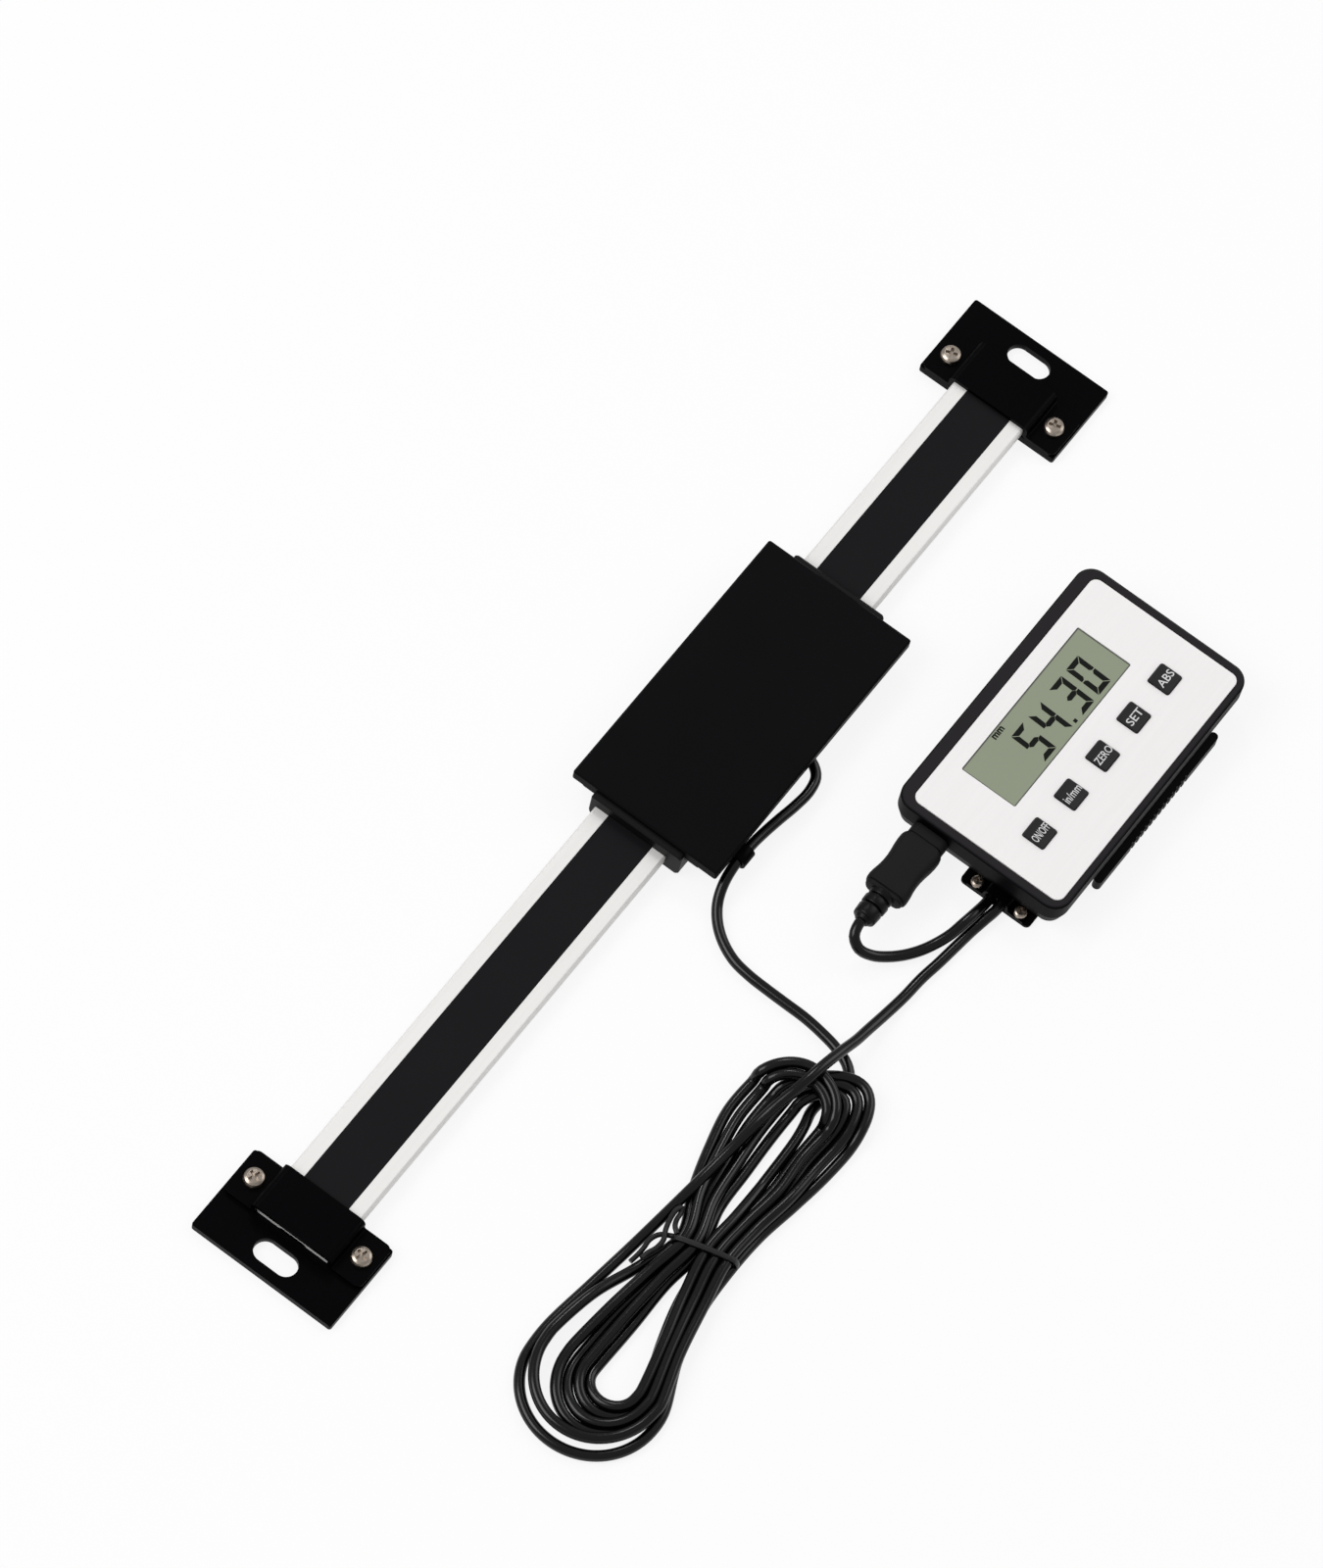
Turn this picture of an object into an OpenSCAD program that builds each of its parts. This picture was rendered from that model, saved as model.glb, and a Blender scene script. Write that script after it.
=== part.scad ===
// Linear scale: a beam held by two end brackets, a reader head that travels on it,
// and a remote display on a cord. Millimetres.
// X runs along the beam, Z is up, and the head's back face lies on z = 0.

/* [Beam] */
// Sawn length of the beam
beam_length = 338; // [240:1:600]
// Width of the beam
beam_width = 24.2; // [23.6:0.1:26]
// Thickness of the beam
beam_thick = 4.2; // [3.8:0.1:5.6]
// Chamfer along the beam's edges
beam_chamfer = 0.6; // [0.5:0.1:1]
// Width of the scale strip let into the beam
strip_width = 15; // [12:0.1:18]
// Depth of the recess for the scale strip
strip_depth = 1.6; // [1:0.1:2]
// Thickness of the dark film over the scale strip
film_thick = 0.3; // [0.2:0.05:0.5]
// Width of the groove along the beam's underside
groove_width = 9; // [4:0.5:14]
// Depth of that groove
groove_depth = 0.8; // [0.3:0.1:1]
// Beam centre from the head's centre, at rest
beam_shift = -31.6; // [-60:0.1:60]

/* [End brackets] */
// How far a bracket plate reaches past each end of the strap's ears
ear_margin = 0.4; // [0.3:0.1:2]
// Bracket depth, along the beam
bracket_depth = 28; // [26:0.5:40]
// Plate thickness of a bracket
bracket_thick = 2.5; // [2:0.1:3]
// Corner radius of a bracket plate
bracket_corner = 0.8; // [0.4:0.1:3]
// Length of the fixing slot, end to end
slot_length = 13.6; // [9:0.1:20]
// Width of the fixing slot
slot_width = 7; // [4:0.1:8]
// Slot centre from the bracket's outer edge
slot_inset = 6.7; // [5:0.1:8]
// Length of the strap, along the beam
strap_length = 15; // [12:0.5:15.5]
// Sheet thickness of the strap
strap_thick = 1.4; // [1:0.1:1.6]
// Inside bend radius of the strap
strap_bend = 0.5; // [0.3:0.1:0.6]
// Gap between the beam's side and the strap
strap_play = 0.1; // [0.05:0.05:0.3]
// Width over the strap's two ears
ear_span = 46.2; // [45:0.1:46.4]
// Corner radius of the ears
ear_corner = 2; // [0.8:0.1:3]
// Distance that the strap reaches past the beam's end
end_cover = 1; // [0.5:0.1:3]
// Distance of a strap screw from the end of its ear
strap_screw_end = 5; // [4.7:0.1:5.3]
// Thread diameter of a strap screw
strap_screw_d = 3; // [2:0.5:3]
// Head diameter of a strap screw
strap_head_d = 6; // [5:0.1:6]
// Head height of a strap screw
strap_head_h = 2.1; // [1.6:0.1:2.6]

/* [Reader head] */
// Length of the cover plate
cover_length = 92.6; // [90:0.1:110]
// Width of the cover plate
cover_width = 49.2; // [47:0.1:60]
// Thickness of the cover plate
cover_thick = 3.6; // [3:0.1:5]
// Bevel round the cover plate's upper edge
cover_bevel = 0.5; // [0.2:0.1:1]
// How far the cover sits towards the cord's side
cover_shift = 2.6; // [0:0.1:3]
// How far the cover plate reaches past each end of the body
cover_reach = 3.8; // [3:0.1:5]
// Width of the head's body
body_width = 41; // [40:0.1:43]
// Thickness of the body over the beam
roof_thick = 2.25; // [2:0.05:3]
// Running gap round the beam
run_gap = 0.05; // [0.02:0.01:0.08]
// Length of the gib
gib_length = 60; // [50:1:60]
// Thickness of the gib
gib_thick = 2; // [1.5:0.1:2]
// Distance between the gib's two screws
gib_screw_pitch = 40; // [30:1:46]
// Thread diameter of a gib screw
gib_screw_d = 2.5; // [2:0.5:2.5]
// Distance of the reading board from each end of the body
board_end = 5.5; // [5:0.5:12]
// Width of the reading board
board_width = 28; // [20:0.5:29]
// Thickness of the reading board
board_thick = 1; // [0.8:0.1:1.2]
// Gap between the reading board and the film
read_gap = 0.3; // [0.2:0.05:0.4]
// How far each end wiper stands out of the cover plate
wiper_out = 2.1; // [1.6:0.1:2.4]
// How far each end wiper's lip stands up beside the cover plate
wiper_lip = 2; // [1:0.1:3]
// How far the end wipers sit towards the cord's side
wiper_shift = 1.4; // [0:0.1:1.6]
// Width of each end wiper
wiper_width = 30.8; // [29:0.1:34]
// Distance of the head's fixing holes from each end of the body
head_hole_end = 8.5; // [8:0.5:10]
// Distance between the head's fixing holes, across the beam
head_hole_y = 34; // [33.6:0.1:34.4]
// Core diameter of a fixing hole
head_hole_d = 3.3; // [2.5:0.1:3.3]
// Depth of a fixing hole
head_hole_depth = 6.5; // [4:0.5:7]
// Distance of the cover's screws from each end of the body
cover_screw_end = 3.5; // [3:0.5:4]
// Thread diameter of a cover screw
cover_screw_d = 2.5; // [2:0.5:2.5]

/* [Cord] */
// Outside diameter of the cord
cord_d = 3.2; // [2.6:0.1:3.2]
// Length of the cord clip, along the cord
clip_length = 5; // [3:0.5:6]
// Wall of the cord clip
clip_wall = 0.9; // [0.6:0.1:1.2]
// Height of the hank
hank_height = 6.4; // [6.4:0.1:8]
// Width of the tie round the hank
tie_width = 2.2; // [2:0.1:5]
// Thickness of the tie round the hank
tie_thick = 0.9; // [0.5:0.1:0.9]

/* [Display] */
// Length of the face plate
face_length = 88.6; // [84:0.1:96]
// Width of the face plate
face_width = 50.2; // [48:0.1:56]
// Thickness of the face plate
face_thick = 0.7; // [0.5:0.05:0.8]
// Corner radius of the face plate
face_corner = 2.6; // [1:0.1:4]
// How far the face plate stands out of the rim
face_proud = 0.15; // [0:0.05:0.3]
// How far the face plate sits towards the keys' side of the case
face_shift = 1; // [0:0.1:1.2]
// Groove between the face plate and the rim
face_groove = 0.25; // [0.1:0.05:0.4]
// Rim beside the face plate at the two short ends
rim_end = 2.9; // [2.4:0.1:5]
// Rim beside the face plate along the two long sides
rim_side = 3.2; // [2.6:0.1:6]
// Bevel round the rim
rim_bevel = 0.7; // [0.4:0.1:1]
// Height of the case over its underside
case_height = 11.4; // [11.2:0.1:14]
// Height of the back half of the case
back_height = 4.8; // [4:0.1:5.4]
// How much the back half of the case narrows on each side
case_taper = 1.3; // [0.8:0.1:1.4]
// Wall of the case
case_wall = 1.8; // [1.4:0.1:2]
// Height of the rails under the case
rail_height = 4.8; // [4.6:0.1:6]
// Length of the display window
window_length = 56.6; // [50:0.1:58]
// Width of the display window
window_width = 18.3; // [16:0.1:19]
// Window centre from the face plate's centre
window_offset = 10.4; // [10:0.1:11]
// Side of a key
key_size = 7; // [6:0.1:8]
// Distance from one key to the next
key_pitch = 15.25; // [12:0.05:15.5]
// Keys' centre line from the face plate's centre
key_offset = 8.7; // [8.5:0.1:10]
// How far a key stands out of the face plate
key_rise = 0.8; // [0.7:0.05:1.2]
// How far a key travels
key_travel = 0.6; // [0.4:0.05:0.6]
// Gap round a key
key_gap = 0.2; // [0.1:0.05:0.3]
// Length of the battery door's lip
door_length = 59; // [56:0.5:64]
// How far the door's lip stands out of the case
door_lip = 1.8; // [1.4:0.1:3]
// Thickness of the battery door
door_thick = 1.1; // [0.8:0.1:1.1]
// Diameter of a battery cell
cell_d = 10.3; // [9.8:0.1:10.4]
// Length of a battery cell
cell_length = 44.5; // [40:0.5:46]
// Width of the plug's grip
grip_width = 13.2; // [11:0.1:14]
// Thickness of the plug's grip
grip_thick = 7.2; // [6:0.1:7.6]
// Length of the plug's grip
grip_length = 21.4; // [16:0.1:22]
// Length of the strain relief behind the grip
boot_length = 9; // [7:0.5:9]
// Diameter of the strain relief's first rib
boot_d = 7.6; // [6.4:0.1:8]
// Distance between the cord saddle's two screws
saddle_pitch = 14.6; // [13.6:0.1:16]
// Sheet thickness of the cord saddle
saddle_thick = 0.8; // [0.6:0.1:0.9]

/* [Hidden] */
$fn = 48;
touch = 0.01;

// Levels and edges of the beam and its brackets
beam_z = bracket_thick;
beam_top = beam_z + beam_thick;
beam_end = beam_length / 2;
bracket_in = beam_end + end_cover - strap_length;
bracket_out = bracket_in + bracket_depth;
slot_x = bracket_out - slot_inset;
strap_x = bracket_in + strap_length / 2;
wall_y = beam_width / 2 + strap_play;

// Levels and edges of the head
bracket_width = ear_span + 2 * ear_margin;
strap_screw_pitch = ear_span - 2 * strap_screw_end;
body_length = cover_length - 2 * cover_reach;
board_length = body_length - 2 * board_end;
head_hole_x = body_length - 2 * head_hole_end;
cover_screw_x = body_length - 2 * cover_screw_end;
channel_y = beam_width / 2 + run_gap;
channel_low = beam_z - run_gap;
channel_high = beam_top + run_gap;
body_top = channel_high + roof_thick;
cover_top = body_top + cover_thick;
board_z = beam_top + read_gap;
pocket_fit = 0.1;
head_hole_fit = head_hole_y / 2;
gib_y = channel_y;
gib_play = 0.05;
clip_x = -(cover_length / 2 - 11.8);
clip_y = -(body_width / 2 + 7.8);
clip_r = cord_d / 2 + 0.05;
clip_z = body_top - clip_wall - clip_r;
clip_screw_y = -(body_width / 2 + 2.1);
bush_x = 2;
bush_z = 5.4;
bush_out = 1.4;
bush_r = cord_d / 2 + 1.2;

// Levels and edges of the display
display_x = 49.3;
display_y = -80.15;
face_y = display_y - face_shift;
case_length = face_length + 2 * rim_end;
case_width = face_width + 2 * rim_side;
case_corner = face_corner + rim_end;
case_low = rail_height;
case_top = case_low + case_height;
split_z = case_low + back_height;
face_top = case_top + face_proud;
deck_top = face_top - face_thick;
deck_thick = 0.8;
deck_low = deck_top - deck_thick;
flange_high = deck_low - 0.05;
flange_thick = 0.65;
flange_low = flange_high - flange_thick;
flange_wide = 0.7;
dome_thick = 0.2;
dome_d = 5;
dome_top_d = 4;
dome_top = flange_low - key_travel - 0.1;
main_top = dome_top - dome_thick;
main_thick = 1.2;
main_low = main_top - main_thick;
main_length = face_length - 12.6;
main_width = face_width - 4.2;
case_west = display_x - case_length / 2;
case_south = display_y - case_width / 2;
boss_x = face_length / 2 - 2.6;
boss_y = face_width / 2 - 2.2;
glass_margin = 1.2;
floor_thick = 1.5;
key_y = face_y - key_offset;

// Battery bay and its door
door_x = display_x + 2.5;
bay_length = cell_length + 5;
cell_gap = 0.4;
bay_width = 2 * cell_d + 3 * cell_gap;
bay_south = case_south + case_wall + 0.2;
bay_y = bay_south + bay_width / 2;
bay_north = bay_south + bay_width;
door_low = 0.5;
door_gap = 0.1;
rail_wide = 2.2;
rail_in = bay_length / 2;
rail_grip = 1.2;
contact_long = 8;
contact_high = 7;
spring_d = 6;
spring_tip = 3;
cell_z = door_low + door_thick + 0.1 + cell_d / 2;

// Plug, saddle and tray
plug_y = -65.9;
socket_high = 4;
socket_wide = 7.8;
socket_deep = 9;
plug_z = main_low - socket_high / 2;
collar = 1.4;
grip_x = case_west - 0.15 - collar;
boot_x = grip_x - grip_length;
tray_low = 0.2;
tray_thick = 1;
tray_top = tray_low + tray_thick;
tray_west = 0.4;
tray_length = 23;
tray_width = 23.4;
tray_y = -90;
tray_peg_y = tray_width / 2 - 1.9;
saddle_x = 2.4;
saddle_y = -90.2;
saddle_width = 4;
strand_gap = 0.2;
strand_y = (cord_d + strand_gap) / 2;
saddle_in = cord_d + strand_gap / 2 + 0.05;
strand_z = tray_top + cord_d / 2;

// Route of the cord from the head to the hank
head_route = [
  [bush_x, -18, bush_z],
  [bush_x, -20, bush_z],
  [bush_x, -22.4, bush_z],
  [1.2, -26.6, 5.3],
  [-1.5, -29.8, 5.2],
  [-6.5, -31, 5.3],
  [-12.5, -30.6, 5.6],
  [-19, -29.6, 6],
  [-25.5, -28.7, 6.2],
  [clip_x + 4, clip_y, clip_z],
  [clip_x - 4, clip_y, clip_z],
  [-44, -29, 4.6],
  [-48.8, -30.8, 2.8],
  [-53, -34, 1.8],
  [-56.7, -38.6, 1.6],
  [-59.3, -44.2, 1.6],
  [-60.3, -50, 1.6],
  [-60.6, -56.5, 1.6],
  [-60.7, -63, 1.6],
  [-60.8, -69.5, 1.6],
  [-61.3, -76, 1.6],
  [-62.7, -82, 1.6],
  [-64.9, -87.2, 1.8],
  [-68, -91.2, 2.8]
];

// Route of the cord from the hank to the plug, with its turn over the tray
display_route = [
  [-75, -81.6, 5.6],
  [-68, -82.8, 5.4],
  [-61, -84.4, 5.3],
  [-54, -86, 4.6],
  [-46, -87.2, 2.8],
  [-38.5, -88, 1.8],
  [-31, -88.4, 1.6],
  [-24, -88.9, 1.6],
  [-17, -89.6, 1.7],
  [-11, -90.4, 1.9],
  [-6, -91.2, 2.3],
  [-1.2, saddle_y - strand_y, strand_z],
  [5.6, saddle_y - strand_y, strand_z],
  [8.4, -92.7, strand_z],
  [11, -94.3, strand_z],
  [13.6, -96.1, strand_z],
  [16.2, -97.1, strand_z],
  [19.4, -96.2, strand_z],
  [21.9, -93.6, strand_z],
  [22.7, -90.2, strand_z],
  [21.9, -86.8, strand_z],
  [19.4, -84.2, strand_z],
  [16.2, -83.3, strand_z],
  [13.6, -84.3, strand_z],
  [11, -86.1, strand_z],
  [8.4, -87.7, strand_z],
  [5.6, saddle_y + strand_y, strand_z],
  [-1.2, saddle_y + strand_y, strand_z],
  [-6.4, -87.9, 4],
  [-11, -86.9, 3.8],
  [-15.8, -85.5, 3],
  [-20.4, -83.9, 2.6],
  [-24.8, -82, 2.7],
  [-28.9, -79.7, 3],
  [-32.5, -76.8, 3.6],
  [-35.3, -73.4, 4.7],
  [-36.9, -69.8, 6.7],
  [-35.6, -66.9, 8.8],
  [-32.7, plug_y, plug_z - 0.2],
  [boot_x - boot_length - 0.4, plug_y, plug_z],
  [boot_x - boot_length / 2, plug_y, plug_z]
];

hank_top = [-83.8, -85.5];
hank_waist = [-134.4, -89.2];
hank_foot = [-183.6, -88.2];
hank_top_r = 19.3;
hank_waist_r = 9;
hank_foot_r = 21.5;
hank_z = tie_thick;

// Points of an arc about c
function arc(c, r, from, to, steps) =
  [for (i = [0:steps]) let (a = from + (to - from) * i / steps) c + r * [cos(a), sin(a)]];

function unit(v) = v / norm(v);

// Heading of a route at point i
function heading(route, i) =
  let (last = len(route) - 1)
  unit(route[min(i + 1, last)] - route[max(i - 1, 0)]);

// One ring of a swept cord
function ring(route, i, r, sides) =
  let (
    ahead = heading(route, i),
    side = unit(cross(ahead, [0, 0, 1])),
    over = cross(side, ahead)
  )
  [for (k = [0:sides - 1]) route[i] + r * (cos(360 * k / sides) * side + sin(360 * k / sides) * over)];

// Cord swept along a route, closed at both ends
module sweep(route, r, sides = 8) {
  rings = len(route);
  points = [for (i = [0:rings - 1]) each ring(route, i, r, sides)];
  skin = [
    for (i = [0:rings - 2])
      for (k = [0:sides - 1])
        let (a = i * sides + k, b = i * sides + (k + 1) % sides)
        [a, a + sides, b + sides, b]
  ];
  start = [for (k = [0:sides - 1]) k];
  finish = [for (k = [sides - 1:-1:0]) (rings - 1) * sides + k];
  polyhedron(points = points, faces = concat(skin, [start, finish]), convexity = 10);
}

// Plate on z = 0 with round corners
module slab(l, w, h, r) {
  translate([-l / 2, -w / 2 + r, 0]) cube([l, w - 2 * r, h]);
  translate([-l / 2 + r, -w / 2, 0]) cube([l - 2 * r, w, h]);
  for (x = [-1, 1], y = [-1, 1]) {
    translate([x * (l / 2 - r), y * (w / 2 - r), 0]) cylinder(r = r, h = h);
  }
}

// Prism along X whose section narrows by b on each side
module ridge(l, w, b) {
  rotate([90, 0, 90])
    translate([0, 0, -l / 2])
      linear_extrude(l)
        polygon([
          [-w / 2, -touch], [w / 2, -touch], [w / 2, 0], [w / 2 - b, b], [-w / 2 + b, b], [-w / 2, 0]
        ]);
}

// Plate with round corners and a bevel round its upper edge
module bevel_slab(l, w, h, r, b) {
  slab(l, w, h - b, r);
  translate([0, 0, h - b]) {
    ridge(l - 2 * r, w, b);
    rotate([0, 0, 90]) ridge(w - 2 * r, l, b);
    for (x = [-1, 1], y = [-1, 1]) {
      translate([x * (l / 2 - r), y * (w / 2 - r), 0]) {
        translate([0, 0, -touch]) cylinder(r = r, h = touch);
        cylinder(r1 = r, r2 = r - b, h = b);
      }
    }
  }
}

// Plate with round corners that narrows by t on each side towards z = 0
module taper_slab(l, w, h, r, t) {
  for (turn = [0, 90]) {
    long = turn == 0 ? l : w;
    wide = (turn == 0 ? w : l) / 2;
    rotate([0, 0, turn]) rotate([90, 0, 90])
      translate([0, 0, r - long / 2])
        linear_extrude(long - 2 * r) polygon([[t - wide, 0], [wide - t, 0], [wide, h], [-wide, h]]);
  }
  for (x = [-1, 1], y = [-1, 1]) {
    translate([x * (l / 2 - r), y * (w / 2 - r), 0]) cylinder(r1 = r - t, r2 = r, h = h);
  }
}

// Plate with round ends along Y
module pill(l, w, h) {
  translate([-w / 2, -(l - w) / 2, 0]) cube([w, l - w, h]);
  for (y = [-1, 1]) {
    translate([0, y * (l - w) / 2, 0]) cylinder(d = w, h = h);
  }
}

// Pan head screw with a cross recess: its head stands on z = 0
module pan_screw(d, reach, head_d, head_h) {
  translate([0, 0, -reach]) cylinder(d = d, h = reach + touch);
  difference() {
    rotate_extrude()
      polygon([
        [0, 0],
        [head_d / 2, 0],
        [head_d / 2, head_h * 0.45],
        [head_d * 0.45, head_h * 0.75],
        [head_d * 0.34, head_h * 0.94],
        [0, head_h]
      ]);
    for (a = [0, 90]) {
      rotate([0, 0, a + 20])
        translate([-head_d * 0.29, -head_d * 0.075, head_h * 0.45])
          cube([head_d * 0.58, head_d * 0.15, head_h]);
    }
  }
}

// Flat head screw, head down on z = 0 and shank up
module flat_screw(d, reach, head_d) {
  sink = (head_d - d) / 2;
  difference() {
    union() {
      cylinder(d1 = head_d, d2 = d, h = sink);
      translate([0, 0, sink - touch]) cylinder(d = d, h = reach - sink + touch);
    }
    for (a = [0, 90]) {
      rotate([0, 0, a])
        translate([-head_d * 0.28, -head_d * 0.07, -touch])
          cube([head_d * 0.56, head_d * 0.14, sink * 0.8]);
    }
  }
}

// Half of what is fixed to the beam, mirrored to the other end by side = -1
module at_end(side) {
  translate([beam_shift, 0, 0])
    mirror([side < 0 ? 1 : 0, 0, 0])
      children();
}

module beam() {
  half = beam_width / 2;
  c = beam_chamfer;
  section = [
    [-half + c, 0], [-groove_width / 2, 0], [-groove_width / 2 + groove_depth, groove_depth],
    [groove_width / 2 - groove_depth, groove_depth], [groove_width / 2, 0], [half - c, 0],
    [half, c], [half, beam_thick - c], [half - c, beam_thick],
    [strip_width / 2, beam_thick], [strip_width / 2, beam_thick - strip_depth],
    [-strip_width / 2, beam_thick - strip_depth], [-strip_width / 2, beam_thick],
    [-half + c, beam_thick], [-half, beam_thick - c], [-half, c]
  ];
  color("gainsboro")
    translate([beam_shift - beam_end, 0, beam_z])
      rotate([90, 0, 90])
        linear_extrude(beam_length) polygon(section);
}

module scale_board() {
  color("darkgreen")
    translate([beam_shift - beam_end, -strip_width / 2, beam_top - strip_depth])
      cube([beam_length, strip_width, strip_depth - film_thick]);
}

module scale_film() {
  color("black")
    translate([beam_shift - beam_end, -strip_width / 2, beam_top - film_thick])
      cube([beam_length, strip_width, film_thick]);
}

module bracket(side) {
  at_end(side) difference() {
    translate([bracket_in + bracket_depth / 2, 0, 0])
      slab(bracket_depth, bracket_width, bracket_thick, bracket_corner);
    translate([slot_x, 0, -touch]) pill(slot_length, slot_width, bracket_thick + 2 * touch);
    for (y = [-1, 1]) {
      translate([strap_x, y * strap_screw_pitch / 2, -touch])
        cylinder(d = strap_screw_d, h = bracket_thick + 2 * touch);
    }
  }
}

module bracket_left() {
  color("#141414") bracket(-1);
}

module bracket_right() {
  color("#141414") bracket(1);
}

// Right half of the strap's section, from the top's middle round to the ear and back
function strap_half() =
  let (
    b = strap_bend,
    o = strap_bend + strap_thick,
    ear = ear_span / 2,
    low = bracket_thick
  )
  concat(
    arc([wall_y - b, beam_top - b], b, 90, 0, 6),
    arc([wall_y + o, low + o], o, 180, 270, 8),
    [[ear, low], [ear, low + strap_thick]],
    arc([wall_y + o, low + o], b, 270, 180, 6),
    arc([wall_y - b, beam_top - b], o, 0, 90, 8)
  );

module strap(side) {
  half = strap_half();
  other = [for (i = [len(half) - 1:-1:0]) [-half[i][0], half[i][1]]];
  at_end(side) difference() {
    intersection() {
      translate([bracket_in, 0, 0])
        rotate([90, 0, 90])
          linear_extrude(strap_length) polygon(concat(half, other));
      translate([strap_x, 0, 0])
        slab(strap_length, ear_span, beam_top + strap_thick + 1, ear_corner);
    }
    for (y = [-1, 1]) {
      translate([strap_x, y * strap_screw_pitch / 2, 0])
        cylinder(d = strap_screw_d, h = bracket_thick + strap_thick + touch);
    }
  }
}

module strap_left() {
  color("#101010") strap(-1);
}

module strap_right() {
  color("#101010") strap(1);
}

module strap_screws(side) {
  at_end(side)
    for (y = [-1, 1]) {
      translate([strap_x, y * strap_screw_pitch / 2, bracket_thick + strap_thick])
        pan_screw(strap_screw_d, strap_thick + bracket_thick - 0.3, strap_head_d, strap_head_h);
    }
}

module strap_screws_left() {
  color("silver") strap_screws(-1);
}

module strap_screws_right() {
  color("silver") strap_screws(1);
}

module head_cover() {
  color("#161618") difference() {
    translate([0, -cover_shift, body_top])
      bevel_slab(cover_length, cover_width, cover_thick, cover_bevel + 0.2, cover_bevel);
    for (x = [-1, 1], y = [-1, 1]) {
      translate([x * cover_screw_x / 2, y * head_hole_fit, body_top - touch])
        cylinder(d = cover_screw_d, h = cover_thick - 1);
    }
    translate([clip_x, clip_screw_y, body_top - touch]) cylinder(d = 2, h = cover_thick - 1);
  }
}

module head_body() {
  half = body_width / 2;
  grip = 1.2;
  mid = body_top / 2;
  color("#1c1c1e") difference() {
    translate([-body_length / 2, 0, 0])
      rotate([90, 0, 90])
        linear_extrude(body_length)
          polygon([
            [-half + 1, 0], [half - 1, 0], [half, 1],
            [half, mid - grip], [half - grip, mid], [half, mid + grip], [half, body_top],
            [-half, body_top], [-half, mid + grip], [-half + grip, mid], [-half, mid - grip],
            [-half, 1]
          ]);
    translate([-body_length / 2 - 1, -channel_y, channel_low])
      cube([body_length + 2, 2 * channel_y, channel_high - channel_low]);
    translate([-gib_length / 2 - gib_play, 0, channel_low])
      cube([gib_length + 2 * gib_play, channel_y + gib_thick + gib_play, channel_high - channel_low]);
    reading_pocket();
    for (x = [-1, 1], y = [-1, 1]) {
      translate([x * head_hole_x / 2, y * head_hole_fit, -touch])
        cylinder(d = head_hole_d, h = head_hole_depth + touch);
      translate([x * cover_screw_x / 2, y * head_hole_fit, 0]) {
        translate([0, 0, -touch]) cylinder(d = cover_screw_d, h = body_top + 2 * touch);
        cylinder(d1 = cover_screw_d * 1.9, d2 = cover_screw_d, h = cover_screw_d * 0.45);
      }
    }
    for (x = [-1, 1]) {
      translate([x * gib_screw_pitch / 2, channel_y, gib_mid()])
        rotate([-90, 0, 0]) cylinder(d = gib_screw_d, h = body_width / 2);
    }
    translate([bush_x, -body_width / 2 - 1, bush_z])
      rotate([-90, 0, 0]) cylinder(r = bush_r, h = 5);
    translate([bush_x - cord_d / 2, -body_width / 2 + 3.9, bush_z - cord_d / 2])
      cube([cord_d, 4.4, body_top]);
    for (x = [-1, 1], y = [-1, 1]) {
      translate([x * (body_length / 2 + 1), y * wiper_width * 0.25, peg_z()])
        rotate([0, x * -90, 0]) cylinder(d = peg_d(), h = 4.2);
    }
  }
}

function gib_mid() = beam_z + beam_thick / 2;

function peg_d() = 1.3;

function peg_z() = channel_high + roof_thick / 2;

// Room over the channel for the reading board
module reading_pocket() {
  long = board_length + 2 * pocket_fit;
  wide = board_width + 2 * pocket_fit;
  translate([-long / 2, -wide / 2, board_z]) cube([long, wide, body_top]);
  translate([-long / 2 + 3, -channel_y + 2.4, beam_z])
    cube([long - 6, 2 * channel_y - 4.8, board_z]);
}

module wiper(side) {
  low = 1;
  high = body_top - 0.3;
  top = body_top + wiper_lip;
  start = body_length / 2;
  out = cover_length / 2 + 0.1;
  mirror([side < 0 ? 1 : 0, 0, 0]) difference() {
    union() {
      translate([start, -wiper_shift, (high + low) / 2])
        rotate([0, 90, 0])
          slab(high - low, wiper_width, out - start + touch, 1.2);
      translate([out, -wiper_shift, (top + low) / 2])
        rotate([0, 90, 0])
          bevel_slab(top - low, wiper_width, wiper_out - 0.1, 1.2, 0.5);
      for (y = [-1, 1]) {
        translate([body_length / 2 - 3, y * wiper_width * 0.25, peg_z()])
          rotate([0, 90, 0]) cylinder(d = peg_d(), h = 3 + touch);
      }
    }
    translate([start - 1, -channel_y, channel_low])
      cube([out - start + wiper_out + 2, 2 * channel_y, channel_high - channel_low]);
  }
}

module wiper_left() {
  color("#0c0c0c") wiper(-1);
}

module wiper_right() {
  color("#0c0c0c") wiper(1);
}

module gib() {
  color("goldenrod") difference() {
    translate([-gib_length / 2, gib_y, channel_low + gib_play])
      cube([gib_length, gib_thick, channel_high - channel_low - 2 * gib_play]);
    for (x = [-1, 1]) {
      translate([x * gib_screw_pitch / 2, gib_y + gib_thick - 0.5, gib_mid()])
        rotate([-90, 0, 0]) cylinder(d = gib_screw_d, h = 1);
    }
  }
}

module gib_screws() {
  start = gib_y + gib_thick - 0.5;
  long = body_width / 2 - start - 1.6;
  color("dimgray")
    for (x = [-1, 1]) {
      translate([x * gib_screw_pitch / 2, start, gib_mid()])
        rotate([-90, 0, 0])
          difference() {
            cylinder(d = gib_screw_d, h = long);
            translate([0, 0, long - 1.2]) cylinder(d = gib_screw_d * 0.55, h = 2, $fn = 6);
          }
    }
}

module reading_board() {
  color("seagreen")
    translate([-board_length / 2, -board_width / 2, board_z])
      cube([board_length, board_width, board_thick]);
}

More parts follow.
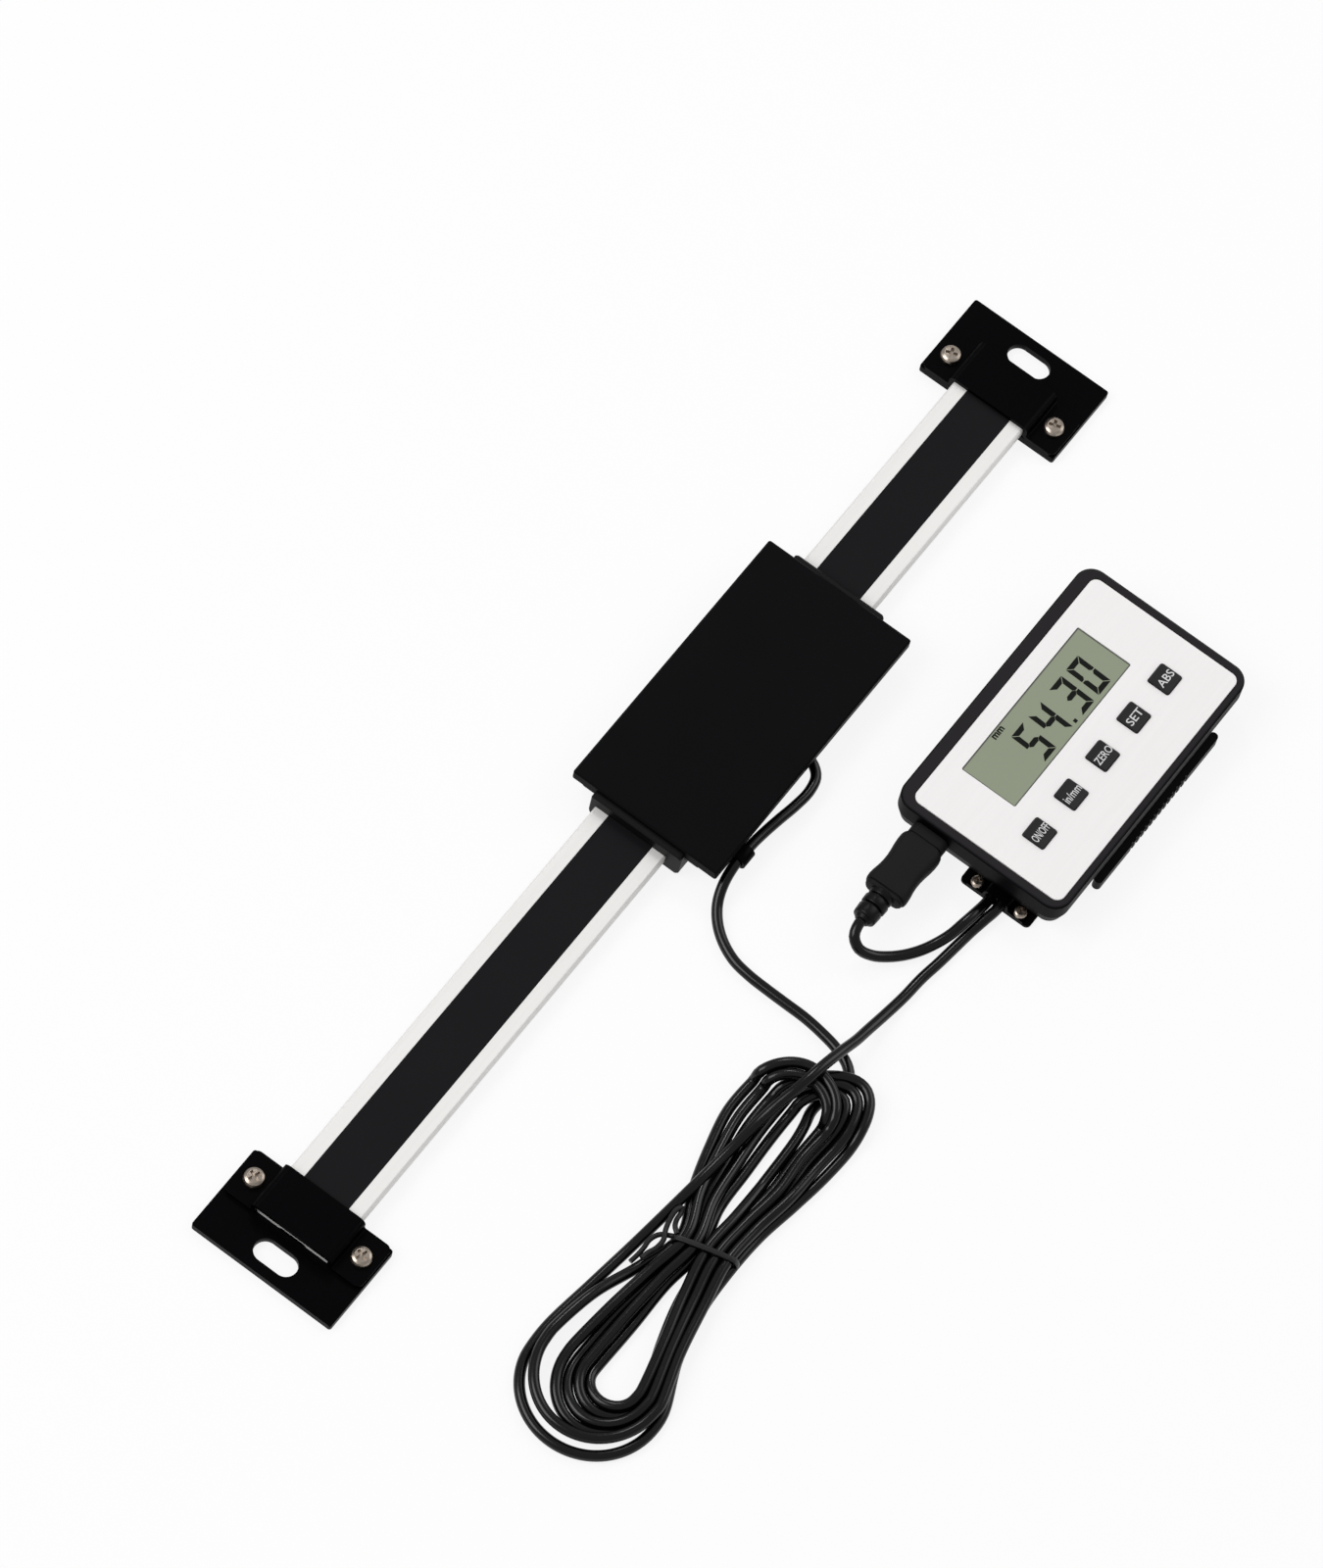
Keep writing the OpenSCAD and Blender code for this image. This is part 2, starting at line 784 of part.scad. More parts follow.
module reading_chip() {
  color("#202020")
    translate([8, 0, board_z + board_thick]) cylinder(d1 = 11, d2 = 8, h = 0.8);
}

module cover_screws() {
  color("gray")
    for (x = [-1, 1], y = [-1, 1]) {
      translate([x * cover_screw_x / 2, y * head_hole_fit, 0])
        flat_screw(cover_screw_d, body_top + cover_thick - 1.3, cover_screw_d * 1.9);
    }
}

module cord_bush() {
  wall = body_width / 2;
  color("#0e0e0e")
    translate([bush_x, -wall, bush_z])
      rotate([90, 0, 0])
        difference() {
          union() {
            translate([0, 0, -3.9]) cylinder(r = bush_r, h = 4);
            cylinder(r1 = bush_r + 0.8, r2 = bush_r + 0.3, h = bush_out);
          }
          translate([0, 0, -4]) cylinder(d = cord_d, h = 4 + bush_out + 1);
        }
}

// Clip that holds the cord beside the cover, under its edge
module cord_clip() {
  outer = clip_r + clip_wall;
  color("#181818") difference() {
    union() {
      translate([clip_x - clip_length / 2, clip_y, clip_z])
        rotate([0, 90, 0]) cylinder(r = outer, h = clip_length);
      translate([clip_x - clip_length / 2, clip_y, clip_z + clip_r])
        cube([clip_length, clip_screw_y - clip_y + 2, clip_wall]);
    }
    translate([clip_x - clip_length, clip_y, clip_z])
      rotate([0, 90, 0]) cylinder(r = clip_r, h = clip_length * 2);
    translate([clip_x, clip_screw_y, clip_z]) cylinder(d = 2, h = clip_r + clip_wall + 1);
  }
}

module clip_screw() {
  color("silver")
    translate([clip_x, clip_screw_y, body_top - clip_wall])
      mirror([0, 0, 1]) pan_screw(2, clip_wall + cover_thick - 1.4, 3.6, 1.3);
}

module head_cord() {
  color("#111111") sweep(head_route, cord_d / 2);
}

module display_cord() {
  color("#111111") sweep(display_route, cord_d / 2);
}

module hank() {
  color("#0f0f0f")
    translate([0, 0, hank_z])
      linear_extrude(hank_height) {
        hull() {
          translate(hank_top) circle(hank_top_r, $fn = 36);
          translate(hank_waist) circle(hank_waist_r, $fn = 36);
        }
        hull() {
          translate(hank_waist) circle(hank_waist_r, $fn = 36);
          translate(hank_foot) circle(hank_foot_r, $fn = 36);
        }
      }
}

// Wire tie round the hank's waist
module hank_tie() {
  along = (hank_foot - hank_top) / norm(hank_foot - hank_top);
  lean = atan2(along[1], along[0]) - 180;
  reach = hank_waist_r + 0.9;
  wide = 2 * (reach + tie_thick);
  color("#090909")
    translate([hank_waist[0], hank_waist[1], 0])
      rotate([0, 0, lean])
        difference() {
          translate([-tie_width / 2, -wide / 2, 0])
            cube([tie_width, wide, hank_z + hank_height + tie_thick]);
          translate([-tie_width, -reach, tie_thick])
            cube([2 * tie_width, 2 * reach, hank_height]);
        }
}

module plug_boot() {
  step = boot_length / 3;
  color("#0d0d0d")
    translate([boot_x, plug_y, plug_z])
      rotate([0, -90, 0])
        difference() {
          for (i = [0:2]) {
            translate([0, 0, i * step]) {
              cylinder(d = boot_d - 0.3 * i, h = step * 0.72);
              cylinder(d = boot_d * 0.8 - 0.2 * i, h = step);
            }
          }
          translate([0, 0, boot_length / 2]) cylinder(d = cord_d, h = boot_length);
        }
}

// Plug grip with a waist and a collar, moulded on the plug's shell
module plug_grip() {
  half = grip_width / 2;
  waist = half * 0.9;
  outline = concat(
    [[0, -half], [0, half], [-grip_length * 0.12, half]],
    [for (i = [1:7]) let (t = i / 8)
      [-grip_length * (0.12 + 0.66 * t), half - (half - waist) * sin(180 * t)]],
    [[-grip_length * 0.8, half], [-grip_length * 0.95, half * 0.86], [-grip_length, half * 0.6]]
  );
  other = [for (i = [len(outline) - 1:-1:2]) [outline[i][0], -outline[i][1]]];
  color("#111111")
    translate([grip_x, plug_y, plug_z])
      intersection() {
        translate([0, 0, -grip_thick / 2])
          linear_extrude(grip_thick) polygon(concat(outline, other));
        translate([-grip_length / 2, 0, 0])
          rotate([0, 90, 0])
            translate([0, 0, -grip_length])
              slab(grip_thick, grip_width, grip_length * 2, 1.4);
      }
  color("#111111")
    translate([grip_x - touch, plug_y, plug_z])
      rotate([0, 90, 0])
        slab(grip_thick - 1.8, grip_width - 1, collar + touch, 1);
}

module plug_shell() {
  color("silver")
    translate([grip_x + collar, plug_y, plug_z])
      rotate([0, 90, 0])
        slab(3, 6.8, socket_deep - 2, 0.7);
}

// Hole in the case for the plug's shell and socket
module socket_hole() {
  translate([case_west - 1, plug_y - socket_wide / 2 - 0.2, plug_z - socket_high / 2 - 0.2])
    cube([case_wall + 2, socket_wide + 0.4, socket_high + 0.4]);
}

module at_display() {
  translate([display_x, display_y, 0]) children();
}

module at_face() {
  translate([display_x, face_y, 0]) children();
}

module at_bosses() {
  for (x = [-1, 1], y = [-1, 1]) {
    translate([x * boss_x, y * boss_y, 0]) children();
  }
}

module case_front() {
  inner_l = case_length - 2 * case_wall;
  inner_w = case_width - 2 * case_wall;
  inner_r = case_corner - case_wall;
  groove_r = face_corner + face_groove;
  color("#1e1e20") difference() {
    union() {
      at_display() difference() {
        translate([0, 0, split_z])
          bevel_slab(case_length, case_width, case_top - split_z, case_corner, rim_bevel);
        translate([0, 0, split_z - touch])
          slab(inner_l, inner_w, deck_low - split_z + touch, inner_r);
        translate([0, -face_shift, deck_top])
          slab(face_length + 2 * face_groove, face_width + 2 * face_groove, 3, groove_r);
      }
      at_display() {
        at_bosses() translate([0, 0, split_z]) cylinder(d = 5, h = deck_low - split_z + touch);
        for (x = [-1, 1], y = [-1, 1]) {
          translate([x * (main_length / 2 - 3), y * (main_width / 2 - 2), main_top])
            cylinder(d = 3, h = deck_low - main_top + touch);
        }
      }
    }
    at_display() {
      at_bosses() translate([0, 0, split_z - touch]) cylinder(d = 2, h = 4);
    }
    at_face() translate([0, window_offset, deck_low - touch])
      slab(window_length + 2 * glass_margin, window_width + 2 * glass_margin, 3, 0.6);
    key_places() translate([0, 0, deck_low - touch])
      slab(key_size + 2 * key_gap, key_size + 2 * key_gap, 3, 0.6);
    socket_hole();
  }
}

module case_back() {
  inner_l = case_length - 2 * case_wall;
  inner_w = case_width - 2 * case_wall;
  inner_r = case_corner - case_wall;
  color("#141416") difference() {
    union() {
      at_display() difference() {
        translate([0, 0, case_low])
          taper_slab(case_length, case_width, back_height, case_corner, case_taper);
        translate([0, 0, case_low + floor_thick])
          slab(inner_l, inner_w, back_height, inner_r);
      }
      at_display() at_bosses()
        translate([0, 0, case_low + touch]) cylinder(d = 6, h = back_height - touch);
      battery_bay();
    }
    translate([door_x - bay_length / 2, bay_south, -1])
      cube([bay_length, bay_width, split_z + 2]);
    at_display() at_bosses() {
      translate([0, 0, case_low - touch]) cylinder(d = 2.4, h = back_height + 1);
      translate([0, 0, case_low - touch]) cylinder(d = 4.4, h = 2 + touch);
    }
    door_track(door_gap);
    socket_hole();
    translate([case_west - 1, saddle_y - saddle_in - saddle_thick - 0.2, case_low - touch])
      cube([saddle_x + saddle_width / 2 + 0.3 - case_west + 1,
            2 * (saddle_in + saddle_thick + 0.2), 0.9]);
    translate([0, tray_y, 0])
      for (y = [-1, 1]) {
        translate([tray_west + tray_length / 2, y * tray_peg_y, case_low - touch])
          cylinder(d = 1.6, h = floor_thick - 0.3);
      }
  }
}

// Rails and end wall of the battery bay, under the case and up to its cells
module battery_bay() {
  west = door_x - bay_length / 2 - rail_wide;
  wide = bay_length + 2 * rail_wide;
  south = case_south + case_taper + 0.1;
  translate([west, south, 0]) cube([wide, bay_north - south + rail_wide, case_low + 0.5]);
  translate([west, case_south + case_wall - touch, case_low])
    cube([wide, bay_width + rail_wide + 0.2, back_height]);
}

// Track of the battery door, wider than the door by gap
module door_track(gap) {
  translate([
    door_x - bay_length / 2 - rail_grip - gap,
    case_south - door_lip,
    door_low - gap
  ])
    cube([
      bay_length + 2 * (rail_grip + gap),
      bay_north - case_south + door_lip + gap,
      door_thick + 2 * gap
    ]);
  translate([door_x - bay_length / 2, case_south - 1, -1])
    cube([bay_length, bay_south - case_south + 2, case_low + 0.6]);
}

module battery_door() {
  south = case_south - door_lip;
  deep = door_lip + case_taper - 0.4;
  long = bay_length + 2 * rail_grip;
  color("#101012") {
    translate([door_x - long / 2, south + 1, door_low])
      cube([long, bay_north - south - 1, door_thick]);
    difference() {
      translate([door_x, south + deep / 2, door_low])
        slab(door_length, deep, case_low - door_low - 0.2, min(1.3, deep / 2 - touch));
      for (i = [-6:6]) {
        translate([door_x + i * 2.2, south, door_low - 1]) cylinder(r = 0.5, h = 9, $fn = 16);
      }
    }
  }
}

module battery_cells() {
  color("steelblue")
    for (i = [0, 1]) {
      way = i == 0 ? 1 : -1;
      translate([door_x, bay_south + cell_gap + cell_d / 2 + i * (cell_d + cell_gap), cell_z])
        rotate([0, 90 * way, 0]) {
          translate([0, 0, -cell_length / 2]) cylinder(d = cell_d, h = cell_length - 0.8);
          translate([0, 0, cell_length / 2 - 0.9]) cylinder(d = 3.8, h = 0.9);
        }
    }
}

// Spring and tab contacts at the two ends of the battery bay
module cell_contacts() {
  gap = (bay_length - cell_length) / 2;
  color("silver")
    for (side = [-1, 1], i = [0, 1]) {
      y = bay_south + cell_gap + cell_d / 2 + i * (cell_d + cell_gap);
      translate([door_x + side * bay_length / 2, y, cell_z])
        rotate([0, -90 * side, 0]) {
          translate([-contact_high / 2, -contact_long / 2, 0])
            cube([contact_high, contact_long, 0.4]);
          cylinder(d1 = spring_d, d2 = spring_tip, h = gap - 0.1);
        }
    }
}

module case_screws() {
  color("gray")
    at_display() at_bosses()
      translate([0, 0, case_low + 2])
        mirror([0, 0, 1]) pan_screw(2, back_height + 1.2, 4, 1.4);
}

module face_plate() {
  color("#e4e2df") difference() {
    at_face() translate([0, 0, deck_top])
      bevel_slab(face_length, face_width, face_thick, face_corner, 0.15);
    at_face() translate([0, window_offset, deck_top - touch])
      slab(window_length, window_width, face_thick + 1, 0.5);
    key_places() translate([0, 0, deck_top - touch])
      slab(key_size + 2 * key_gap, key_size + 2 * key_gap, face_thick + 1, 0.7);
  }
}

module display_glass() {
  color("#8f9a86")
    at_face() translate([0, window_offset, main_top])
      slab(window_length + 2 * glass_margin - 0.2, window_width + 2 * glass_margin - 0.2,
           deck_top - main_top, 0.5);
}

module display_window() {
  color("#9aa590")
    at_face() translate([0, window_offset, deck_top])
      slab(window_length - 0.1, window_width - 0.1, face_thick - 0.35, 0.45);
}

module main_board() {
  color("seagreen")
    {
      at_display() translate([0, 0, main_low]) slab(main_length, main_width, main_thick, 1);
      translate([case_west + case_wall + 0.4, plug_y - socket_wide / 2 - 0.8, main_low])
        cube([socket_deep, socket_wide + 1.6, main_thick]);
    }
}

module key_places() {
  for (i = [-2:2]) {
    translate([display_x + i * key_pitch, key_y, 0]) children();
  }
}

module key_domes() {
  color("silver")
    for (i = [-2:2]) {
      translate([display_x + i * key_pitch, key_y, main_top])
        cylinder(d1 = dome_d, d2 = dome_top_d, h = dome_thick);
    }
}

module plug_socket() {
  color("lightgray")
    translate([case_west + 0.1, plug_y, plug_z])
      rotate([0, 90, 0])
        difference() {
          slab(socket_high, socket_wide, socket_deep, 0.9);
          translate([0, 0, -touch]) slab(3.1, 6.9, socket_deep - 1, 0.75);
        }
}

module key(i) {
  color("#17171a")
    translate([display_x + i * key_pitch, key_y, 0]) {
      translate([0, 0, flange_low])
        slab(key_size + 2 * flange_wide, key_size + 2 * flange_wide, flange_thick, 0.8);
      translate([0, 0, flange_high - touch])
        bevel_slab(key_size, key_size, face_top + key_rise - flange_high + touch, 0.6, 0.25);
    }
}

module key_power() {
  key(-2);
}

module key_units() {
  key(-1);
}

module key_zero() {
  key(0);
}

module key_set() {
  key(1);
}

module key_abs() {
  key(2);
}

// Tray under the case, over which the cord turns back to the plug
module cord_tray() {
  mid = tray_west + tray_length / 2;
  color("#121214") difference() {
    translate([mid, tray_y, 0]) {
      translate([0, 0, tray_low]) slab(tray_length, tray_width, tray_thick, 1.5);
      for (y = [-1, 1]) {
        translate([0, y * tray_peg_y, tray_low]) {
          cylinder(d = 3.6, h = case_low - tray_low);
          cylinder(d = 1.6, h = case_low - tray_low + floor_thick - 0.4);
        }
      }
    }
    for (y = [-1, 1]) {
      translate([saddle_x, saddle_y + y * saddle_pitch / 2, 0])
        cylinder(d = 2, h = tray_top + touch);
    }
  }
}

// Bent strap over the two strands of cord
module cord_saddle() {
  in = saddle_in;
  high = tray_top + cord_d + 0.05;
  t = saddle_thick;
  ear = saddle_pitch / 2 + 2.2;
  half = concat(
    arc([in - 1.2, high - 1.2], 1.2, 90, 0, 5),
    [[in, tray_top + t + 0.2], [in + 0.2, tray_top], [ear, tray_top], [ear, tray_top + t]],
    [[in + t + 0.2, tray_top + t]],
    arc([in - 1.2, high - 1.2], 1.2 + t, 0, 90, 7)
  );
  other = [for (i = [len(half) - 1:-1:0]) [-half[i][0], half[i][1]]];
  color("#17171a") difference() {
    translate([saddle_x - saddle_width / 2, saddle_y, 0])
      rotate([90, 0, 90]) linear_extrude(saddle_width) polygon(concat(half, other));
    for (y = [-1, 1]) {
      translate([saddle_x, saddle_y + y * saddle_pitch / 2, 0])
        cylinder(d = 2, h = tray_top + t + touch);
    }
  }
}

module saddle_screws() {
  color("silver")
    for (y = [-1, 1]) {
      translate([saddle_x, saddle_y + y * saddle_pitch / 2, tray_top + saddle_thick])
        pan_screw(2, saddle_thick + tray_thick, 3.8, 1.5);
    }
}

beam();
scale_board();
scale_film();
bracket_left();
bracket_right();
strap_left();
strap_right();
strap_screws_left();
strap_screws_right();
head_cover();
head_body();
wiper_left();
wiper_right();
gib();
gib_screws();
reading_board();
reading_chip();
cover_screws();
cord_bush();
cord_clip();
clip_screw();
head_cord();
hank();
hank_tie();
display_cord();
plug_boot();
plug_grip();
plug_shell();
case_front();
case_back();
case_screws();
face_plate();
display_glass();
display_window();
main_board();
key_domes();
plug_socket();
key_power();
key_units();
key_zero();
key_set();
key_abs();
battery_door();
battery_cells();
cell_contacts();
cord_tray();
cord_saddle();
saddle_screws();
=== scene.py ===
import math

import bpy
from mathutils import Matrix, Vector


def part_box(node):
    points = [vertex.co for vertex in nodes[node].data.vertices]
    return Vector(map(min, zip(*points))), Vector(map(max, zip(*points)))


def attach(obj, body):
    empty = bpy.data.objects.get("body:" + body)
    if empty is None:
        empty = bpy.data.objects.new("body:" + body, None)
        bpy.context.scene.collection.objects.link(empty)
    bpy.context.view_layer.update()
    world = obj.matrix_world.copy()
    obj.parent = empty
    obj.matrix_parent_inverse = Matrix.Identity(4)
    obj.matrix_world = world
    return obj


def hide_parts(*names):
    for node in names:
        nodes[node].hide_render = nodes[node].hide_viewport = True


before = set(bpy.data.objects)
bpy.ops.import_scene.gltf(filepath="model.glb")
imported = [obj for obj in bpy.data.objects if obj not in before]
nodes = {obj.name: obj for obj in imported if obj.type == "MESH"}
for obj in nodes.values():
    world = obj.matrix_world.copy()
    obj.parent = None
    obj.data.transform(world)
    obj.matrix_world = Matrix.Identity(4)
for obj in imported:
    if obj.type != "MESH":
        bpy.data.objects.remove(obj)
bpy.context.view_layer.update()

scene = bpy.context.scene
mm = 0.001


def clearSelection():
    if bpy.context.object and bpy.context.object.mode != "OBJECT":
        bpy.ops.object.mode_set(mode="OBJECT")
    bpy.ops.object.select_all(action="DESELECT")


def activate(obj):
    clearSelection()
    obj.select_set(True)
    bpy.context.view_layer.objects.active = obj
    return obj


def boxOf(name):
    # Lowest and highest corners of a CAD node, in millimetres.
    low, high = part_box(name)
    return [v / mm for v in low], [v / mm for v in high]


class Value:
    # A shader socket that takes part in arithmetic, on either side of a sign.

    def __init__(self, shader, socket):
        self.shader = shader
        self.socket = socket

    def combine(self, operation, other=0.0):
        return self.shader.maths(operation, self, other)

    def follow(self, operation, other):
        # The same with this value second, as in 1 - mask.
        return self.shader.maths(operation, other, self)

    def __add__(self, other):
        return self.combine("ADD", other)

    def __radd__(self, other):
        return self.follow("ADD", other)

    def __sub__(self, other):
        return self.combine("SUBTRACT", other)

    def __rsub__(self, other):
        return self.follow("SUBTRACT", other)

    def __mul__(self, other):
        return self.combine("MULTIPLY", other)

    def __rmul__(self, other):
        return self.follow("MULTIPLY", other)

    def __truediv__(self, other):
        return self.combine("DIVIDE", other)

    def __rtruediv__(self, other):
        return self.follow("DIVIDE", other)

    def size(self):
        return self.combine("ABSOLUTE")

    def most(self, other):
        return self.combine("MAXIMUM", other)

    def clamp(self):
        found = self.combine("ADD")
        found.socket.node.use_clamp = True
        return found

    def above(self, limit, soft):
        # 0 below the limit, 1 once it is passed by the soft distance.
        return ((self - limit) / soft).clamp()


class Shader:
    # Builds one procedural material.

    def __init__(self, name, **constants):
        self.material = bpy.data.materials.new(name)
        self.material.use_nodes = True
        self.tree = self.material.node_tree
        self.principled = self.tree.nodes["Principled BSDF"]
        for key, value in constants.items():
            self.set(key, value)

    def set(self, key, value):
        socket = self.principled.inputs[key]
        if isinstance(value, Value):
            self.tree.links.new(value.socket, socket)
        else:
            socket.default_value = (*value, 1) if isinstance(value, tuple) else value

    def node(self, kind, inputs, output=0, **settings):
        made = self.tree.nodes.new(kind)
        for key, value in settings.items():
            setattr(made, key, value)
        for key, value in inputs.items():
            if isinstance(value, Value):
                self.tree.links.new(value.socket, made.inputs[key])
            else:
                made.inputs[key].default_value = value
        return Value(self, made.outputs[output])

    def maths(self, operation, a, b):
        return self.node("ShaderNodeMath", {0: a, 1: b}, operation=operation)

    def place(self, scale):
        spot = self.node("ShaderNodeTexCoord", {}, "Object")
        return self.node("ShaderNodeMapping", {"Vector": spot, "Scale": scale})

    def axis(self, name):
        # One Object coordinate, in millimetres.
        spot = self.node("ShaderNodeTexCoord", {}, "Object")
        return self.node("ShaderNodeSeparateXYZ", {0: spot}, name) * (1 / mm)

    def noise(self, scale, stretch=(1, 1, 1), detail=4.0, rough=0.5):
        inputs = {"Vector": self.place(stretch), "Scale": scale}
        inputs.update({"Detail": detail, "Roughness": rough})
        return self.node("ShaderNodeTexNoise", inputs)

    def mix(self, share, low, high):
        # One colour turning into another as the share goes from 0 to 1.
        ends = [c if isinstance(c, Value) else (*c, 1) for c in (low, high)]
        inputs = {0: share, 6: ends[0], 7: ends[1]}
        return self.node("ShaderNodeMix", inputs, 2, data_type="RGBA")

    def bump(self, height, strength, distance):
        inputs = {"Height": height, "Strength": strength, "Distance": distance * mm}
        self.set("Normal", self.node("ShaderNodeBump", inputs))


def moulded(name, dark, light, roughness, shine, grain, depth):
    # Plastic, rubber or paint: a fine grain and slow changes of shade.
    s = Shader(name, **{"Specular IOR Level": shine})
    slow = s.noise(35, detail=3)
    fine = s.noise(grain, detail=2)
    s.set("Base Color", s.mix(0.7 * slow + 0.3 * fine, dark, light))
    s.set("Roughness", (roughness - 0.06) + 0.12 * fine)
    s.bump(fine, depth, 0.05)
    return s.material


def brushed(name, dark, light, roughness, along, metallic=1.0, depth=0.12):
    # Metal drawn or ground along one axis.
    s = Shader(name, Metallic=metallic)
    lines = s.noise(900, along, detail=5, rough=0.6)
    slow = s.noise(18, detail=2)
    s.set("Base Color", s.mix(0.6 * lines + 0.4 * slow, dark, light))
    s.set("Roughness", (roughness - 0.08) + 0.16 * lines)
    s.bump(lines, depth, 0.03)
    return s.material


caseShades = {
    "shine": 0.04,
    "rimFrom": 15.7,
    "rimSoft": 0.4,
    # The rim's colour is a painted highlight: the top, facing up, gets a paler colour than the
    # walls.
    "rim": (0.0185, 0.017, 0.0185),
    "walls": ((0.0008, 0.0008, 0.0014), (0.0020, 0.0019, 0.0027)),
}


def caseLook():
    # Case plastic: the top of the rim is painted paler than the walls under it, a painted
    # highlight where the top faces the light.
    s = Shader("casePlastic", **{"Specular IOR Level": caseShades["shine"]})
    fine = s.noise(2600, detail=2)
    slow = s.noise(40, detail=3)
    # Painted light: above this height the colour turns to the paler painted highlight of the rim's
    # top.
    top = s.axis("Z").above(caseShades["rimFrom"], caseShades["rimSoft"])
    walls = s.mix(0.6 * slow + 0.4 * fine, *caseShades["walls"])
    s.set("Base Color", s.mix(top, walls, caseShades["rim"]))
    s.set("Roughness", 0.42 + 0.12 * fine)
    s.bump(fine, 0.2, 0.05)
    return s.material


windowShades = {
    "green": ((0.228, 0.254, 0.184), (0.249, 0.276, 0.202)),
    "line": (0.075, 0.085, 0.075),
    "lineWidth": 0.42,
    "lineSoft": 0.16,
}


def windowLook():
    # Grey-green liquid crystal with a thin dark line along its edge.
    s = Shader("displayGreen", **{"Specular IOR Level": 0.15, "Roughness": 0.35})
    low, high = boxOf("display_window")
    middle = [(a + b) / 2 for a, b in zip(low, high)]
    across = (s.axis("X") - middle[0]).size() - (high[0] - low[0]) / 2
    up = (s.axis("Y") - middle[1]).size() - (high[1] - low[1]) / 2
    edge = across.most(up).above(-windowShades["lineWidth"], windowShades["lineSoft"])
    green = s.mix(s.noise(22, detail=2), *windowShades["green"])
    s.set("Base Color", s.mix(edge, green, windowShades["line"]))
    s.bump(s.noise(900, detail=1), 0.02, 0.02)
    return s.material


keyShades = {
    # Painted light: the colour of the keys' lit side and of their shaded side.
    "paintedLitSide": (0.0145, 0.0135, 0.0145),
    "far": (0.009, 0.0085, 0.009),
    "margin": 1,
}


def keyLook():
    # Key plastic: a fine grain and painted shading: paler on the side nearer to the battery door,
    # darker on the far side, as light falls on the keys.
    s = Shader("keyPlastic", **{"Specular IOR Level": 0.25})
    fine = s.noise(3000, detail=2)
    low, high = boxOf("key_set")
    start, end = low[1] + keyShades["margin"], high[1] - keyShades["margin"]
    # Painted shading across the keys, from the paler lit side to the darker shaded side.
    share = ((s.axis("Y") - start) / (end - start)).clamp()
    s.set("Base Color", s.mix(share, keyShades["paintedLitSide"], keyShades["far"]))
    s.set("Roughness", 0.32 + 0.12 * fine)
    s.bump(fine, 0.2, 0.05)
    return s.material


screwShades = ((0.22, 0.175, 0.14), (0.52, 0.46, 0.40))


def screwLook():
    # Nickel over steel: warm, with small dull patches.
    s = Shader("nickelPlate", Metallic=1.0)
    s.set("Base Color", s.mix(s.noise(700, detail=4, rough=0.6), *screwShades))
    fine = s.noise(3500, detail=2)
    s.set("Roughness", 0.22 + 0.2 * fine)
    s.bump(fine, 0.12, 0.03)
    return s.material


cellShades = {"wrap": (0.012, 0.013, 0.016), "band": (0.55, 0.33, 0.12), "bandFrom": 0.72}


def cellLook():
    # Wrap of the two cells: a paler band at one end, as such cells have.
    s = Shader("cellWrap", **{"Specular IOR Level": 0.5, "Roughness": 0.22})
    low, high = boxOf("battery_cells")
    start = low[0] + cellShades["bandFrom"] * (high[0] - low[0])
    band = s.axis("X").above(start, 0.15)
    s.set("Base Color", s.mix(band, cellShades["wrap"], cellShades["band"]))
    s.bump(s.noise(600, detail=2), 0.03, 0.03)
    return s.material


boardShades = {"resist": (0.006, 0.075, 0.022), "track": (0.015, 0.125, 0.04)}


def boardLook():
    # Solder resist with faint straight tracks under it.
    s = Shader("circuitBoard", **{"Specular IOR Level": 0.5})
    along = (s.axis("X") * 2.6).combine("SINE").above(0.82, 0.08)
    across = (s.axis("Y") * 2.1).combine("SINE").above(0.9, 0.06)
    tracks = along.most(across)
    s.set("Base Color", s.mix(tracks, boardShades["resist"], boardShades["track"]))
    s.set("Roughness", 0.3 + 0.1 * s.noise(900, detail=2))
    s.bump(tracks, 0.2, 0.03)
    return s.material


